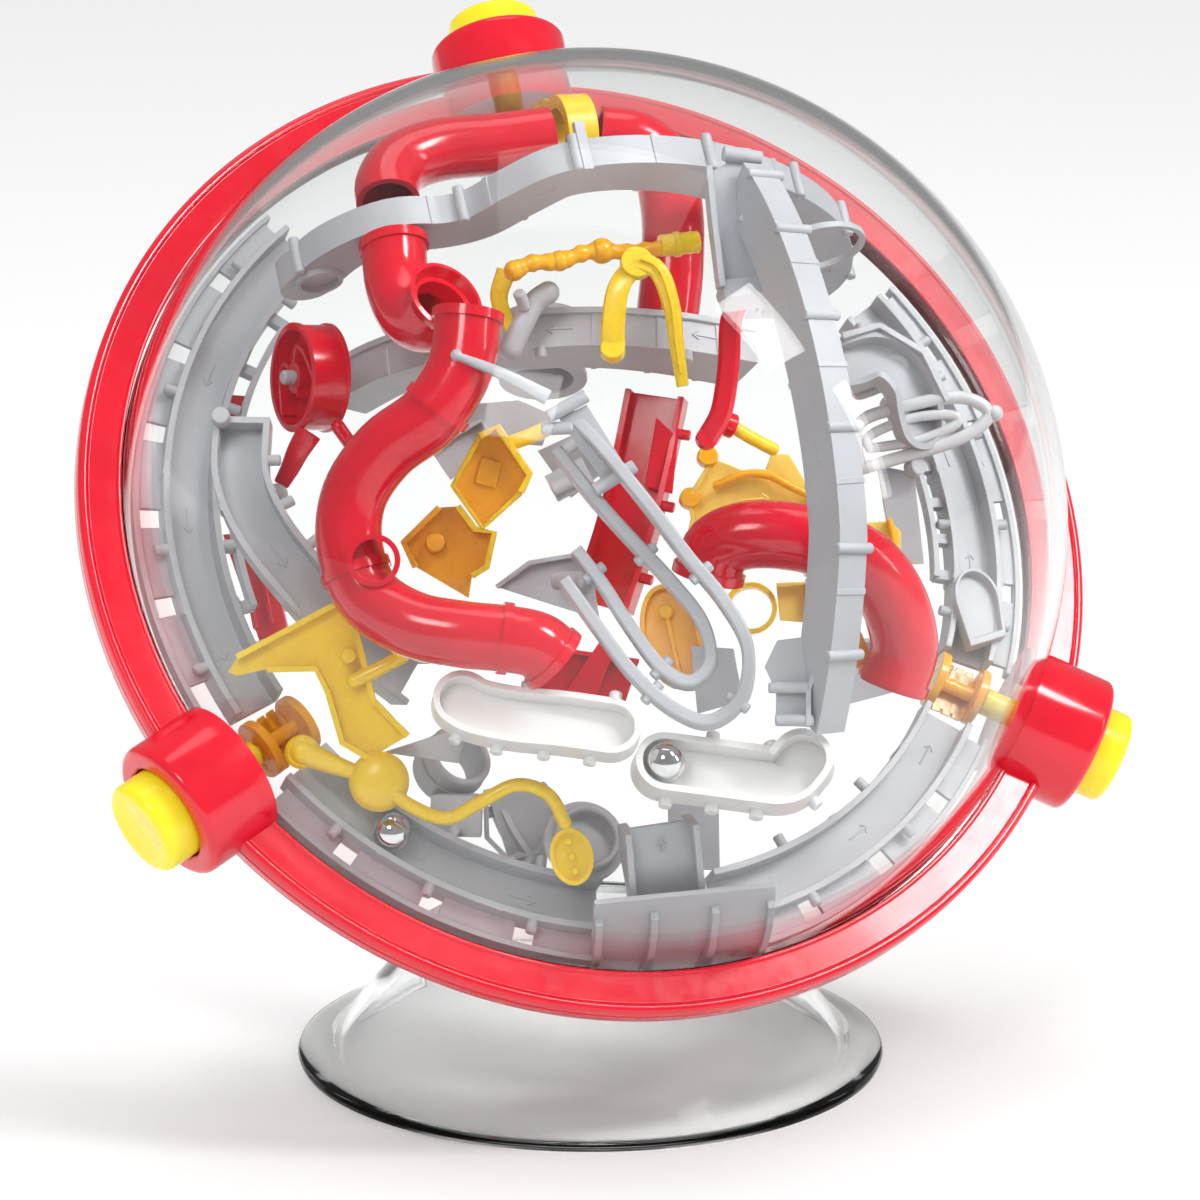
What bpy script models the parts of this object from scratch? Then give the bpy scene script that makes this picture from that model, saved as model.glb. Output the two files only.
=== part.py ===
"""Tilt maze game: a clear ball full of tracks, clamped by a red ring with three knobs, on a clear stand."""

from math import asin, cos, degrees, pi, radians, sin

import bmesh
import bpy
from mathutils import Matrix, Vector

for old in list(bpy.data.objects):
    bpy.data.objects.remove(old, do_unlink=True)

# Driving dimensions, in millimetres and degrees.
MM = 0.001
GAP = 0.3  # left between pieces that touch

SHELL_RADIUS = 101.6  # an 8 inch ball
SHELL_WALL = 2.4
SHELL_STEPS = 36
FLANGE_RADIUS = 105.1
FLANGE_THICKNESS = 1.9
SPLIT = 0.15  # half the gap between the two halves of the ball and of the ring

CENTRE_HEIGHT = 118.4  # of the ball's centre above the table
RING_AXIS_RISE = 37.4  # the ring's axis leans up from the horizontal, towards the front
RING_OUTER = 111.0
RING_INNER = 102.0
RING_HALF = 3.2
RING_STEPS = 60

HUB_ANGLES = {"top": 88.4, "left": 208.4, "right": 328.4}
HUB_RADIUS = 15.0
HUB_TOP = 117.6  # from the ball's centre
SHAFT_RADIUS = 3.0
SHAFT_BORE = 3.1
KNOB_RADIUS = 10.0
KNOB_BASE = 118.0
KNOB_TOP = 124.4

TRACK_WIDTH = 11.5
TRACK_WALL = 1.4
TRACK_HEIGHT = 6.5
TRACK_FLOOR = 1.5
RIM_TRACK_RADIUS = 87.0
GATE_RADIUS = 6.3
GATE_LENGTH = 12.0
BALL_ON_RIM_ANGLE = 228.5

TUBE_DIAMETER = 13.4
TUBE_WALL = 1.7
STEEL_BALL = 7.94  # 5/16 inch

STAND_BRIM = 64.0
STAND_LIP = 40.4

UP = Vector((0, 1, 0))  # in the ball's frame: towards the top knob
FRONT = Vector((0, 0, 1))  # along the ring's axis

RED = (0.85, 0.015, 0.045, 1.0)
YELLOW = (0.86, 0.72, 0.02, 1.0)
ORANGE = (0.88, 0.42, 0.02, 1.0)
GREY = (0.44, 0.46, 0.50, 1.0)
WHITE = (0.86, 0.86, 0.84, 1.0)
CLEAR = (0.80, 0.84, 0.84, 0.25)
STEEL = (0.72, 0.72, 0.74, 1.0)

parts = bpy.data.collections.new("tilt_maze_game")
cutters = bpy.data.collections.new("cutters")
bpy.context.scene.collection.children.link(parts)
bpy.context.scene.collection.children.link(cutters)


def material(name, colour, roughness=0.3, metallic=0.0, clear=False):
    made = bpy.data.materials.new(name)
    made.use_nodes = True
    shader = made.node_tree.nodes["Principled BSDF"]
    shader.inputs["Base Color"].default_value = colour
    shader.inputs["Roughness"].default_value = roughness
    shader.inputs["Metallic"].default_value = metallic
    if clear:
        shader.inputs["Transmission Weight"].default_value = 1.0
        shader.inputs["IOR"].default_value = 1.49
    return made


MATERIALS = {
    "red": material("red_plastic", RED, 0.22),
    "yellow": material("yellow_plastic", YELLOW, 0.35),
    "orange": material("orange_plastic", ORANGE, 0.35),
    "grey": material("grey_plastic", GREY, 0.40),
    "white": material("white_plastic", WHITE, 0.38),
    "clear": material("clear_plastic", CLEAR, 0.04, clear=True),
    "steel": material("polished_steel", STEEL, 0.08, 1.0),
}


def empty(name, parent=None, matrix=None):
    made = bpy.data.objects.new(name, None)
    parts.objects.link(made)
    made.parent = parent
    if matrix is not None:
        made.matrix_local = matrix
    return made


# The ball's frame: X to the right, Y towards the top knob, Z out along the ring's axis.
ball = empty("ball_frame")
ball.location = (0, 0, CENTRE_HEIGHT * MM)
ball.rotation_euler = (radians(90 - RING_AXIS_RISE), 0, 0)


def place(name, data, slot, parent=ball, matrix=None, collection=parts):
    made = bpy.data.objects.new(name, data)
    collection.objects.link(made)
    made.parent = parent
    if matrix is not None:
        made.matrix_local = matrix
    if slot:
        data.materials.append(MATERIALS[slot].copy())
        data.materials[0].name = name
    return made


def mesh_data(name, mesh, smooth_angle=35):
    bmesh.ops.recalc_face_normals(mesh, faces=mesh.faces)
    data = bpy.data.meshes.new(name)
    mesh.to_mesh(data)
    mesh.free()
    data.shade_smooth()
    data.set_sharp_from_angle(angle=radians(smooth_angle))
    return data


# ---------------------------------------------------------------- turned pieces
def turned(name, profile, slot, steps=32, parent=ball, matrix=None, collection=parts):
    """Turn a (radius, height) outline, in mm, about the local Z axis. It runs down the outer side."""
    data = bpy.data.meshes.new(name)
    corners = [(r * MM, 0, z * MM) for r, z in profile]
    edges = [(i, i + 1) for i in range(len(corners) - 1)]
    if profile[0][0] > 0:
        edges.append((len(corners) - 1, 0))
    data.from_pydata(corners, edges, [])
    made = place(name, data, slot, parent, matrix, collection)
    screw = made.modifiers.new("turn", "SCREW")
    screw.axis = "Z"
    screw.angle = 2 * pi
    screw.steps = steps
    screw.render_steps = steps
    screw.use_merge_vertices = True
    screw.merge_threshold = 0.00002
    screw.use_smooth_shade = True
    return made


def arc(radius, start, end, steps, centre=(0, 0)):
    """Points on a circle, from one angle to another, in degrees."""
    turns = [radians(start + (end - start) * i / steps) for i in range(steps + 1)]
    return [(centre[0] + radius * cos(t), centre[1] + radius * sin(t)) for t in turns]


def cut(made, *tools):
    for tool in tools:
        tool.hide_render = True
        tool.display_type = "WIRE"
        step = made.modifiers.new("cut", "BOOLEAN")
        step.operation = "DIFFERENCE"
        step.solver = "EXACT"
        step.object = tool


def join(made, other):
    cut(made, other)
    made.modifiers[-1].operation = "UNION"


def cylinder(name, radius, low, high, slot=None, parent=ball, matrix=None, collection=cutters, sides=20):
    mesh = bmesh.new()
    bmesh.ops.create_cone(
        mesh,
        cap_ends=True,
        segments=sides,
        radius1=radius * MM,
        radius2=radius * MM,
        depth=(high - low) * MM,
        matrix=Matrix.Translation((0, 0, (high + low) / 2 * MM)),
    )
    return place(name, mesh_data(name, mesh), slot, parent, matrix, collection)


# ---------------------------------------------------------------- pieces that follow a route
def smooth_route(points, steps=3):
    """A smooth curve through hand-placed points in mm (Catmull-Rom), in metres."""
    points = [Vector(p) for p in points]
    padded = [2 * points[0] - points[1], *points, 2 * points[-1] - points[-2]]
    route = []
    for a, b, c, d in zip(padded, padded[1:], padded[2:], padded[3:]):
        for i in range(steps):
            t = i / steps
            across = 2 * b + (c - a) * t + (2 * a - 5 * b + 4 * c - d) * t * t
            route.append((across + (3 * b - a - 3 * c + d) * t**3) * 0.5 * MM)
    return [*route, points[-1] * MM]


def circle_route(radius, start, end, height, steps):
    """An arc about the ring's axis, in metres, from one angle to another in degrees."""
    return [Vector((x, y, height)) * MM for x, y in arc(radius, start, end, steps)]


def frame_at(route, i, opening):
    """The way ahead, the way across and the way the piece opens, at point i of a route."""
    ahead = (route[min(i + 1, len(route) - 1)] - route[max(i - 1, 0)]).normalized()
    across = ahead.cross(opening).normalized()
    return ahead, across, across.cross(ahead)


def swept(name, outline, route, opening, slot):
    """Carry a flat outline (across, up) in mm along a route."""
    mesh = bmesh.new()
    loops = []
    for i, point in enumerate(route):
        _, across, up = frame_at(route, i, opening)
        loops.append([mesh.verts.new(point + (across * s + up * h) * MM) for s, h in outline])
    for near, far in zip(loops, loops[1:]):
        for k in range(len(outline)):
            mesh.faces.new((near[k - 1], near[k], far[k], far[k - 1]))
    mesh.faces.new(loops[0][::-1])
    mesh.faces.new(loops[-1])
    return place(name, mesh_data(name, mesh), slot)


def trough_outline(width, height):
    half, lip = width / 2, width / 2 - TRACK_WALL
    outer = [(-half, height), (-half, 0), (half, 0), (half, height)]
    return [*outer, (lip, height), (lip, TRACK_FLOOR), (-lip, TRACK_FLOOR), (-lip, height)]


def trough(name, route, opening=FRONT, slot="grey", width=TRACK_WIDTH, height=TRACK_HEIGHT):
    """A U-shaped track with open ends; the route is the middle of its underside."""
    return swept(name, trough_outline(width, height), route, opening, slot)


def bar(name, route, opening, slot, width, thickness):
    """A strip or rail of rectangular section, centred on its route."""
    half, top = width / 2, thickness / 2
    return swept(name, [(-half, -top), (half, -top), (half, top), (-half, top)], route, opening, slot)


def round_ended_loop(route, opening, half, lift, turns=4):
    """A closed loop around a route at a distance, with a half circle about each end."""
    sides = [[], []]
    for i, point in enumerate(route):
        _, across, up = frame_at(route, i, opening)
        for side, sign in zip(sides, (1, -1)):
            side.append(point + (across * sign * half + up * lift) * MM)
    ends = []
    for i, sign in ((len(route) - 1, 1), (0, -1)):
        ahead, across, up = frame_at(route, i, opening)
        swings = [pi * k / turns for k in range(1, turns)]
        ends.append(
            [
                route[i] + (across * cos(t) + ahead * sin(t)) * sign * half * MM + up * lift * MM
                for t in swings
            ]
        )
    return [*sides[0], *ends[0], *reversed(sides[1]), *ends[1]]


def tray(name, route, opening=FRONT, slot="grey", width=TRACK_WIDTH, height=TRACK_HEIGHT):
    """A flat track with a wall all round and rounded ends."""
    half, lip = width / 2, width / 2 - TRACK_WALL
    mesh = bmesh.new()
    loops = [
        [mesh.verts.new(p) for p in round_ended_loop(route, opening, reach, lift)]
        for reach, lift in ((half, 0), (half, height), (lip, height), (lip, TRACK_FLOOR))
    ]
    for near, far in zip(loops, loops[1:]):
        for k in range(len(near)):
            mesh.faces.new((near[k - 1], near[k], far[k], far[k - 1]))
    mesh.faces.new(loops[0][::-1])
    mesh.faces.new(loops[-1])
    return place(name, mesh_data(name, mesh), slot)


def wire(name, route, diameter, slot, hollow=False, fineness=1):
    """A round rod or, when hollow, an open tube along a route."""
    data = bpy.data.curves.new(name, "CURVE")
    data.dimensions = "3D"
    data.bevel_depth = diameter / 2 * MM
    data.bevel_resolution = fineness
    data.use_fill_caps = not hollow
    spline = data.splines.new("POLY")
    spline.points.add(len(route) - 1)
    for point, at in zip(spline.points, route):
        point.co = (*at, 1)
    made = place(name, data, slot)
    if hollow:
        wall = made.modifiers.new("wall", "SOLIDIFY")
        wall.thickness = TUBE_WALL * MM
        wall.offset = -1
    return made


def tube(name, points, slot="red", diameter=TUBE_DIAMETER, steps=2):
    return wire(name, smooth_route(points, steps), diameter, slot, hollow=True, fineness=2)


def plate(name, outline, thickness, slot, middle, normal, along):
    """A flat outline in mm, laid at a place with its face along a normal."""
    data = bpy.data.curves.new(name, "CURVE")
    data.dimensions = "2D"
    data.fill_mode = "BOTH"
    data.extrude = thickness / 2 * MM
    spline = data.splines.new("POLY")
    spline.use_cyclic_u = True
    spline.points.add(len(outline) - 1)
    for point, (x, y) in zip(spline.points, outline):
        point.co = (x * MM, y * MM, 0, 1)
    return place(name, data, slot, matrix=seat(middle, normal, along))


def seat(middle, normal, along):
    """A matrix whose Z is the normal and whose X leans along a direction, at a place in mm."""
    z = Vector(normal).normalized()
    y = z.cross(Vector(along)).normalized()
    x = y.cross(z)
    turn = Matrix((x, y, z)).transposed().to_4x4()
    return Matrix.Translation(Vector(middle) * MM) @ turn


# ---------------------------------------------------------------- stand
def make_stand():
    outer = [(STAND_LIP, 24.6), (41.4, 22.4), (57.0, 3.6), (58.2, 2.6), (63.0, 2.2), (STAND_BRIM, 1.2)]
    inner = [(STAND_BRIM, 0.0), (55.6, 0.0), (54.8, 1.2), (38.6, 20.8), (37.8, 23.5)]
    turned("stand", outer + inner, "clear", steps=40, parent=None)


# ---------------------------------------------------------------- ball shell, ring and hubs
def shell_profile():
    edge = degrees(asin((SPLIT + FLANGE_THICKNESS) / SHELL_RADIUS))
    top = SPLIT + FLANGE_THICKNESS
    inner_radius = SHELL_RADIUS - SHELL_WALL
    start = degrees(asin(SPLIT / inner_radius))
    flange = [(FLANGE_RADIUS, top), (FLANGE_RADIUS, SPLIT)]
    outer = [(0, SHELL_RADIUS), *arc(SHELL_RADIUS, 90, edge, 9)[1:]]
    inner = [*arc(inner_radius, start, 90, 9)[:-1], (0, inner_radius)]
    return outer + flange + inner


def ring_profile():
    step = SPLIT + FLANGE_THICKNESS + GAP
    outside = [(RING_OUTER - 0.6, RING_HALF), (RING_OUTER, RING_HALF - 0.6), (RING_OUTER, SPLIT)]
    inside = [(FLANGE_RADIUS + GAP, SPLIT), (FLANGE_RADIUS + GAP, step), (RING_INNER, step)]
    return [(RING_INNER, RING_HALF), *outside, *inside]


def hub_matrix(angle):
    """The frame of a hub: Z outwards along its shaft, X along the ring's axis."""
    out = Vector((cos(radians(angle)), sin(radians(angle)), 0))
    return seat((0, 0, 0), out, FRONT)


def knob_profile():
    round_edge = arc(1.6, 90, 0, 2, (KNOB_RADIUS - 1.6, KNOB_TOP - 1.6))
    foot = [(KNOB_RADIUS, KNOB_BASE), (SHAFT_RADIUS, KNOB_BASE)]
    end = RIM_TRACK_RADIUS + GATE_LENGTH / 2 + GAP
    return [(0, KNOB_TOP), *round_edge, *foot, (SHAFT_RADIUS, end), (0, end)]


def hub_profile():
    crown = [(SHAFT_BORE, HUB_TOP), *arc(2.5, 90, 0, 2, (HUB_RADIUS - 2.5, HUB_TOP - 2.5))]
    return [*crown, (HUB_RADIUS, 94.0), (SHAFT_BORE, 94.0)]


def make_shell_and_ring():
    bores = []
    frames = {}
    for name, angle in HUB_ANGLES.items():
        frames[name] = empty(f"{name}_knob_axis", ball, hub_matrix(angle))
        bores.append(cylinder(f"{name}_bore", SHAFT_BORE, 90, 120, parent=frames[name]))
    flip = Matrix.Rotation(pi, 4, "X")
    for side, turn in (("front", Matrix()), ("rear", flip)):
        shell = turned(f"{side}_shell", shell_profile(), "clear", SHELL_STEPS, matrix=turn)
        ring = turned(f"{side}_ring", ring_profile(), "red", RING_STEPS, matrix=turn)
        cut(shell, *bores)
        cut(ring, *bores)
    ball_room = turned(
        "ball_room",
        [(0, 102.1), *arc(102.1, 90, -90, 24)[1:-1], (0, -102.1)],
        None,
        RING_STEPS,
        collection=cutters,
    )
    reach = RING_HALF + GAP
    ring_room = turned(
        "ring_room",
        [(100.0, reach), (RING_OUTER + GAP, reach), (RING_OUTER + GAP, -reach), (100.0, -reach)],
        None,
        RING_STEPS,
        collection=cutters,
    )
    for name, frame in frames.items():
        hub = turned(f"{name}_hub", hub_profile(), "red", 24, frame)
        cut(hub, ball_room, ring_room)
        turned(f"{name}_knob", knob_profile(), "yellow", 20, frame)
    return frames


def make_ring_screws():
    """Three screws from behind, midway between the hubs, through the rear half into the front half."""
    radius = (RING_OUTER + FLANGE_RADIUS) / 2
    for i, angle in enumerate((28.4, 148.4, 268.4), start=1):
        x, y = radius * cos(radians(angle)), radius * sin(radians(angle))
        spot = Matrix.Translation((x * MM, y * MM, 0)) @ Matrix.Rotation(pi, 4, "X")
        hole = cylinder(f"screw_hole_{i}", 0.9 + SPLIT, -2.0, RING_HALF + 1, matrix=spot, sides=12)
        cut(bpy.data.objects["front_ring"], hole)
        cut(bpy.data.objects["rear_ring"], hole)
        head = RING_HALF + GAP
        profile = [(0, head + 0.9), (1.5, head + 0.9), (2.1, head), (0.8, head), (0.8, -1.7), (0, -1.7)]
        turned(f"ring_screw_{i}", profile, "steel", 10, matrix=spot)


# ---------------------------------------------------------------- gates on the knob shafts
def make_side_gate(name, frame):
    """A drum across the rim track, with a groove that lines up with the track."""
    low, high = RIM_TRACK_RADIUS - GATE_LENGTH / 2, RIM_TRACK_RADIUS + GATE_LENGTH / 2
    drum = cylinder(f"{name}_gate", GATE_RADIUS, low, high, "orange", frame, collection=parts, sides=16)
    slot_half = TRACK_WIDTH / 2 - TRACK_WALL
    floor = TRACK_FLOOR - TRACK_HEIGHT / 2
    mesh = bmesh.new()
    bmesh.ops.create_cube(mesh, size=1)
    bmesh.ops.scale(mesh, vec=Vector((10, 20, 2 * slot_half)) * MM, verts=mesh.verts)
    spot = Matrix.Translation(Vector((floor + 5, 0, RIM_TRACK_RADIUS)) * MM)
    groove = place(f"{name}_groove", mesh_data("groove", mesh), None, frame, spot, cutters)
    cut(drum, groove)


TOP_GATE_CENTRE = (1.5, 75.0, 36.5)


def make_top_gate(frame):
    """A ring on a bent arm: it closes the gap between two tubes and swings aside with its knob."""
    middle = Vector(TOP_GATE_CENTRE)
    spot = seat(middle, (1, 0, 0), UP)
    outline = [(8.6, 3.4), (8.6, -3.4), (5.4, -3.4), (5.4, 3.4)]
    ring = turned("top_gate", outline, "yellow", 20, matrix=spot)
    points = [(2.6, 91.8, -3), (2.4, 91.0, 8), (2.0, 89.4, 20), (1.6, 86.0, 31), (1.5, 82.4, 36.5)]
    arm = bar("top_gate_arm", smooth_route(points, 2), Vector((0, 1, 0.3)), None, 6.0, 1.6)
    parts.objects.unlink(arm)
    cutters.objects.link(arm)
    join(ring, arm)


def make_gates(frames):
    make_side_gate("left", frames["left"])
    make_side_gate("right", frames["right"])
    make_top_gate(frames["top"])


# ---------------------------------------------------------------- grey tracks
def make_rim_tracks():
    """Arcs of track just inside the ring, in its plane, with a gap at each gate."""
    clear = degrees(asin((GATE_RADIUS + 1.0) / RIM_TRACK_RADIUS))
    spans = {
        "rim_track_left": (126, HUB_ANGLES["left"] - clear, 14),
        "rim_track_lower_left": (HUB_ANGLES["left"] + clear, 259, 9),
        "rim_track_lower_right": (276, HUB_ANGLES["right"] - clear, 9),
        "rim_track_right": (HUB_ANGLES["right"] + clear, 392, 11),
    }
    for name, (start, end, steps) in spans.items():
        trough(name, circle_route(RIM_TRACK_RADIUS, start, end, -TRACK_HEIGHT / 2, steps))


def make_start_channel():
    fall = [(-9, -77.5, 24.5), (-8, -85.5, 18.5), (-5.5, -90.5, 10), (-3.2, -92.5, 0), (-2, -91.5, -8)]
    trough("start_channel", smooth_route(fall, 2), Vector((0.05, 0.95, -0.2)), width=14.0, height=5.0)
    spot = Matrix.Translation(Vector((-19, -73.2, 5.0)) * MM)
    rim = [(7.0, 5.0), (7.0, 0), (0, 0)]
    turned("end_cup", [(0, 1.5), (5.6, 1.5), (5.6, 5.0), *rim], "grey", 16, matrix=spot)


TOP_TROUGH = [
    (-58, 50, 21),
    (-53, 50, 33),
    (-44, 50, 41),
    (-34, 50, 41),
    (-26, 50, 44),
    (-19, 50, 53),
    (-11, 50, 61),
    (3, 50, 62.5),
    (20, 50, 58),
    (37, 50, 48),
    (52, 50, 34),
    (61, 50, 18),
    (62, 50, 4),
    (52, 50, -3),
]

MERIDIAN_POINTS = 11
MERIDIAN_PLANE_X = 20.5
MERIDIAN_RADIUS = 82.0


def meridian_route():
    """An arc in an upright plane at the ball's front right, ending low down."""
    sweep_from, sweep_to = 31, -54.5
    route = []
    for i in range(MERIDIAN_POINTS + 1):
        angle = radians(sweep_from + (sweep_to - sweep_from) * i / MERIDIAN_POINTS)
        drift = -9.0 * max(0.0, -sin(angle) - 0.45)
        x = MERIDIAN_PLANE_X + drift
        route.append(Vector((x, MERIDIAN_RADIUS * sin(angle), MERIDIAN_RADIUS * cos(angle))) * MM)
    return route


def make_grey_tracks():
    tray("top_trough", smooth_route(TOP_TROUGH, 2), UP)
    trough("meridian_track", meridian_route(), Vector((0.98, 0, -0.2)))
    bracket = [(-5, 9), (1, 9), (1, 5), (4.5, 4), (4.5, -1), (0, -5), (1, -13), (-5, -14), (-6, -3)]
    plate("top_plate", bracket, 2.6, "grey", (14.0, 41.5, 71.3), (-0.1, 0.25, 0.96), (1, 0, 0))
    middle_band = [(-47, 33, -4), (-38, 32, 10), (-24, 29, 22), (-6, 25, 31), (12, 21, 34), (30, 18, 31)]
    trough("middle_track", smooth_route(middle_band, 2), UP, height=8.0)
    left_channel = [(-77, 19, 20), (-79, 7, 18), (-76, -4, 16), (-69, -15, 13), (-60, -24, 7), (-48, -32, 0)]
    trough("left_channel", smooth_route(left_channel, 2), Vector((-0.3, 0, 1)))
    socket = seat((-41, -50, -9), (0.25, 0.1, 1), UP)
    turned("lower_socket", [(7.0, 9), (7.0, 0), (5.4, 0), (5.4, 9)], "grey", 14, matrix=socket)
    shelf = [(-27.5, -57.5, -8), (-26, -64, -8), (-23, -71, -8)]
    trough("lower_shelf", smooth_route(shelf, 2), FRONT)


LOOP_OUTER = [
    (-24, -1, 62),
    (-19, -11, 65),
    (-12, -24, 65),
    (-5, -36, 63),
    (1, -45, 61),
    (5, -54, 58),
    (4, -62, 52),
    (-2, -65, 47),
    (-9, -61, 46),
    (-16, -53, 47),
    (-22, -43, 49),
    (-27, -33, 50),
]
LOOP_INNER = [
    (-25, -8, 57),
    (-20, -19, 58),
    (-14, -29, 58),
    (-7, -39, 57),
    (-2, -47, 55),
    (-1, -54, 52),
    (-5, -57, 49),
    (-10, -53, 48),
    (-15, -44, 49),
    (-19, -35, 50),
    (-23, -27, 50),
]


def make_centre_loop():
    """Two rails round a long loop; the steel ball runs along the slot between them."""
    face = Vector((-0.33, -0.1, 0.9))
    bar("loop_rail_outer", smooth_route(LOOP_OUTER, 2), face, "grey", 2.6, 4.6)
    bar("loop_rail_inner", smooth_route(LOOP_INNER, 2), face, "grey", 2.6, 4.6)
    points = [(-44, 12, 71), (-36, 8.4, 69), (-29, 4, 66)]
    wire("loop_pointer", smooth_route(points, 1), 3.2, "grey")


# The straight part of the lower tray, which the steel ball rolls along.
LOWER_TRAY_RUN = [(-10, -70, 34.5), (-4, -71.7, 35.1), (2, -73.4, 35.7), (8, -75.1, 36.3)]
TRAY_OPENING = Vector((-0.25, 0.05, 1))


def make_white_trays():
    opening = TRAY_OPENING
    upper = [(-48, -51.5, 33), (-45, -54, 33.5), (-38, -57, 35), (-29.5, -59.6, 37), (-23.5, -61.6, 38.5)]
    tray("white_tray_upper", smooth_route(upper, 2), opening, "white", 12.0, 5.5)
    lower = [*LOWER_TRAY_RUN, (14, -76.5, 37.6), (18.5, -73.5, 39.5)]
    tray("white_tray_lower", smooth_route(lower, 2), opening, "white", 12.4)


# ---------------------------------------------------------------- red pieces
def make_red_tubes():
    elbow = [(-3.2, 74.6, 36.2), (-14, 74.3, 35), (-27, 74.0, 34.5), (-36.5, 70.8, 35), (-41.3, 65, 36.5)]
    tube("elbow_tube", [*elbow, (-42.3, 60.4, 37.8)])
    drop = [(7.3, 73.8, 37.2), (15, 71.5, 38), (20, 66, 37), (21, 56, 34), (19.5, 45, 31), (17, 34, 27)]
    tube("drop_tube", drop)
    hook = [(-44.5, 48, 42), (-45.5, 39, 42), (-45, 31, 44.5), (-43, 27, 49.5), (-41.5, 28, 55)]
    tube("hook_tube", hook)
    s_bend = [
        (-40, 19.6, 64.5),
        (-42.5, 10.6, 61.6),
        (-49, 2.7, 56),
        (-57.6, -1.1, 48.9),
        (-63.6, -7.3, 41.9),
        (-65.4, -16.3, 37.5),
        (-63.3, -26.9, 36.2),
        (-57.1, -35.5, 40.3),
        (-48.5, -40.0, 43.6),
        (-40.0, -42.4, 45.0),
        (-34.0, -44.6, 45.6),
        (-30.8, -47.4, 44.6),
    ]
    tube("s_tube", s_bend)
    arch = [
        (8.4, -30, 37.2),
        (10.5, -25.2, 41.6),
        (17, -25.0, 46.1),
        (27.6, -28.4, 49.0),
        (37.7, -33.5, 48.3),
        (44.4, -40.0, 43.6),
        (47.7, -48.6, 36.8),
        (44.9, -55.6, 31.5),
    ]
    tube("arch_tube", arch, diameter=14.0)


def make_red_strips():
    chute = [(15.5, 21, 16.5), (10.7, 7.0, 11.4), (5.4, -6.6, 6.2), (-1.0, -19.8, 0.7)]
    bar("red_chute", smooth_route(chute, 2), Vector((-0.3, 0.3, 0.9)), "red", 11.0, 4.0)
    strip = [(20.7, 24.5, 56), (17.5, 13.7, 52), (15, 3.0, 47)]
    bar("red_strip", smooth_route(strip, 2), Vector((-0.3, 0, 1)), "red", 4.4, 3.0)
    wire("strip_pin", smooth_route([(20.5, 2.2, 43), (32, -3.6, 37.8)], 1), 3.6, "yellow")
    fin = [(0, 0), (13, -1.5), (14, 1), (7, 10), (3, 13.5)]
    plate("red_fin", fin, 3.0, "red", (-21, -45, 19.5), (-0.33, -0.1, 0.9), (1, 0, 0))
    panel = [(-4.5, 13), (4.5, 11), (5.5, -12), (-1.0, -13)]
    plate("red_panel", panel, 2.4, "red", (-72, -2, -13), (-0.5, 0, 0.86), (1, 0, 0))


WHEEL_CENTRE = (-61.5, 29.0, 21.5)
WHEEL_AXIS = (-0.95, 0.0, 0.17)


def make_wheel():
    """A spoked drum, closed by a web half way along, that spins on a pin between the left tracks."""
    spot = seat(WHEEL_CENTRE, WHEEL_AXIS, UP)
    axis = empty("wheel_axis", ball, spot)
    rim = [(11.0, 4.2), (11.0, -4.2), (10.0, -4.2), (10.0, 0), (1.9, 0), (1.9, 4.2), (3.4, 4.2)]
    turned("spinner_wheel", [*rim, (3.4, 1.4), (10.0, 1.4), (10.0, 4.2)], "red", 20, axis)
    pin = [(0, 6.2), (1.5, 6.2), (1.5, -5.0), (0, -5.0)]
    turned("spinner_pin", pin, "grey", 10, axis)


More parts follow.
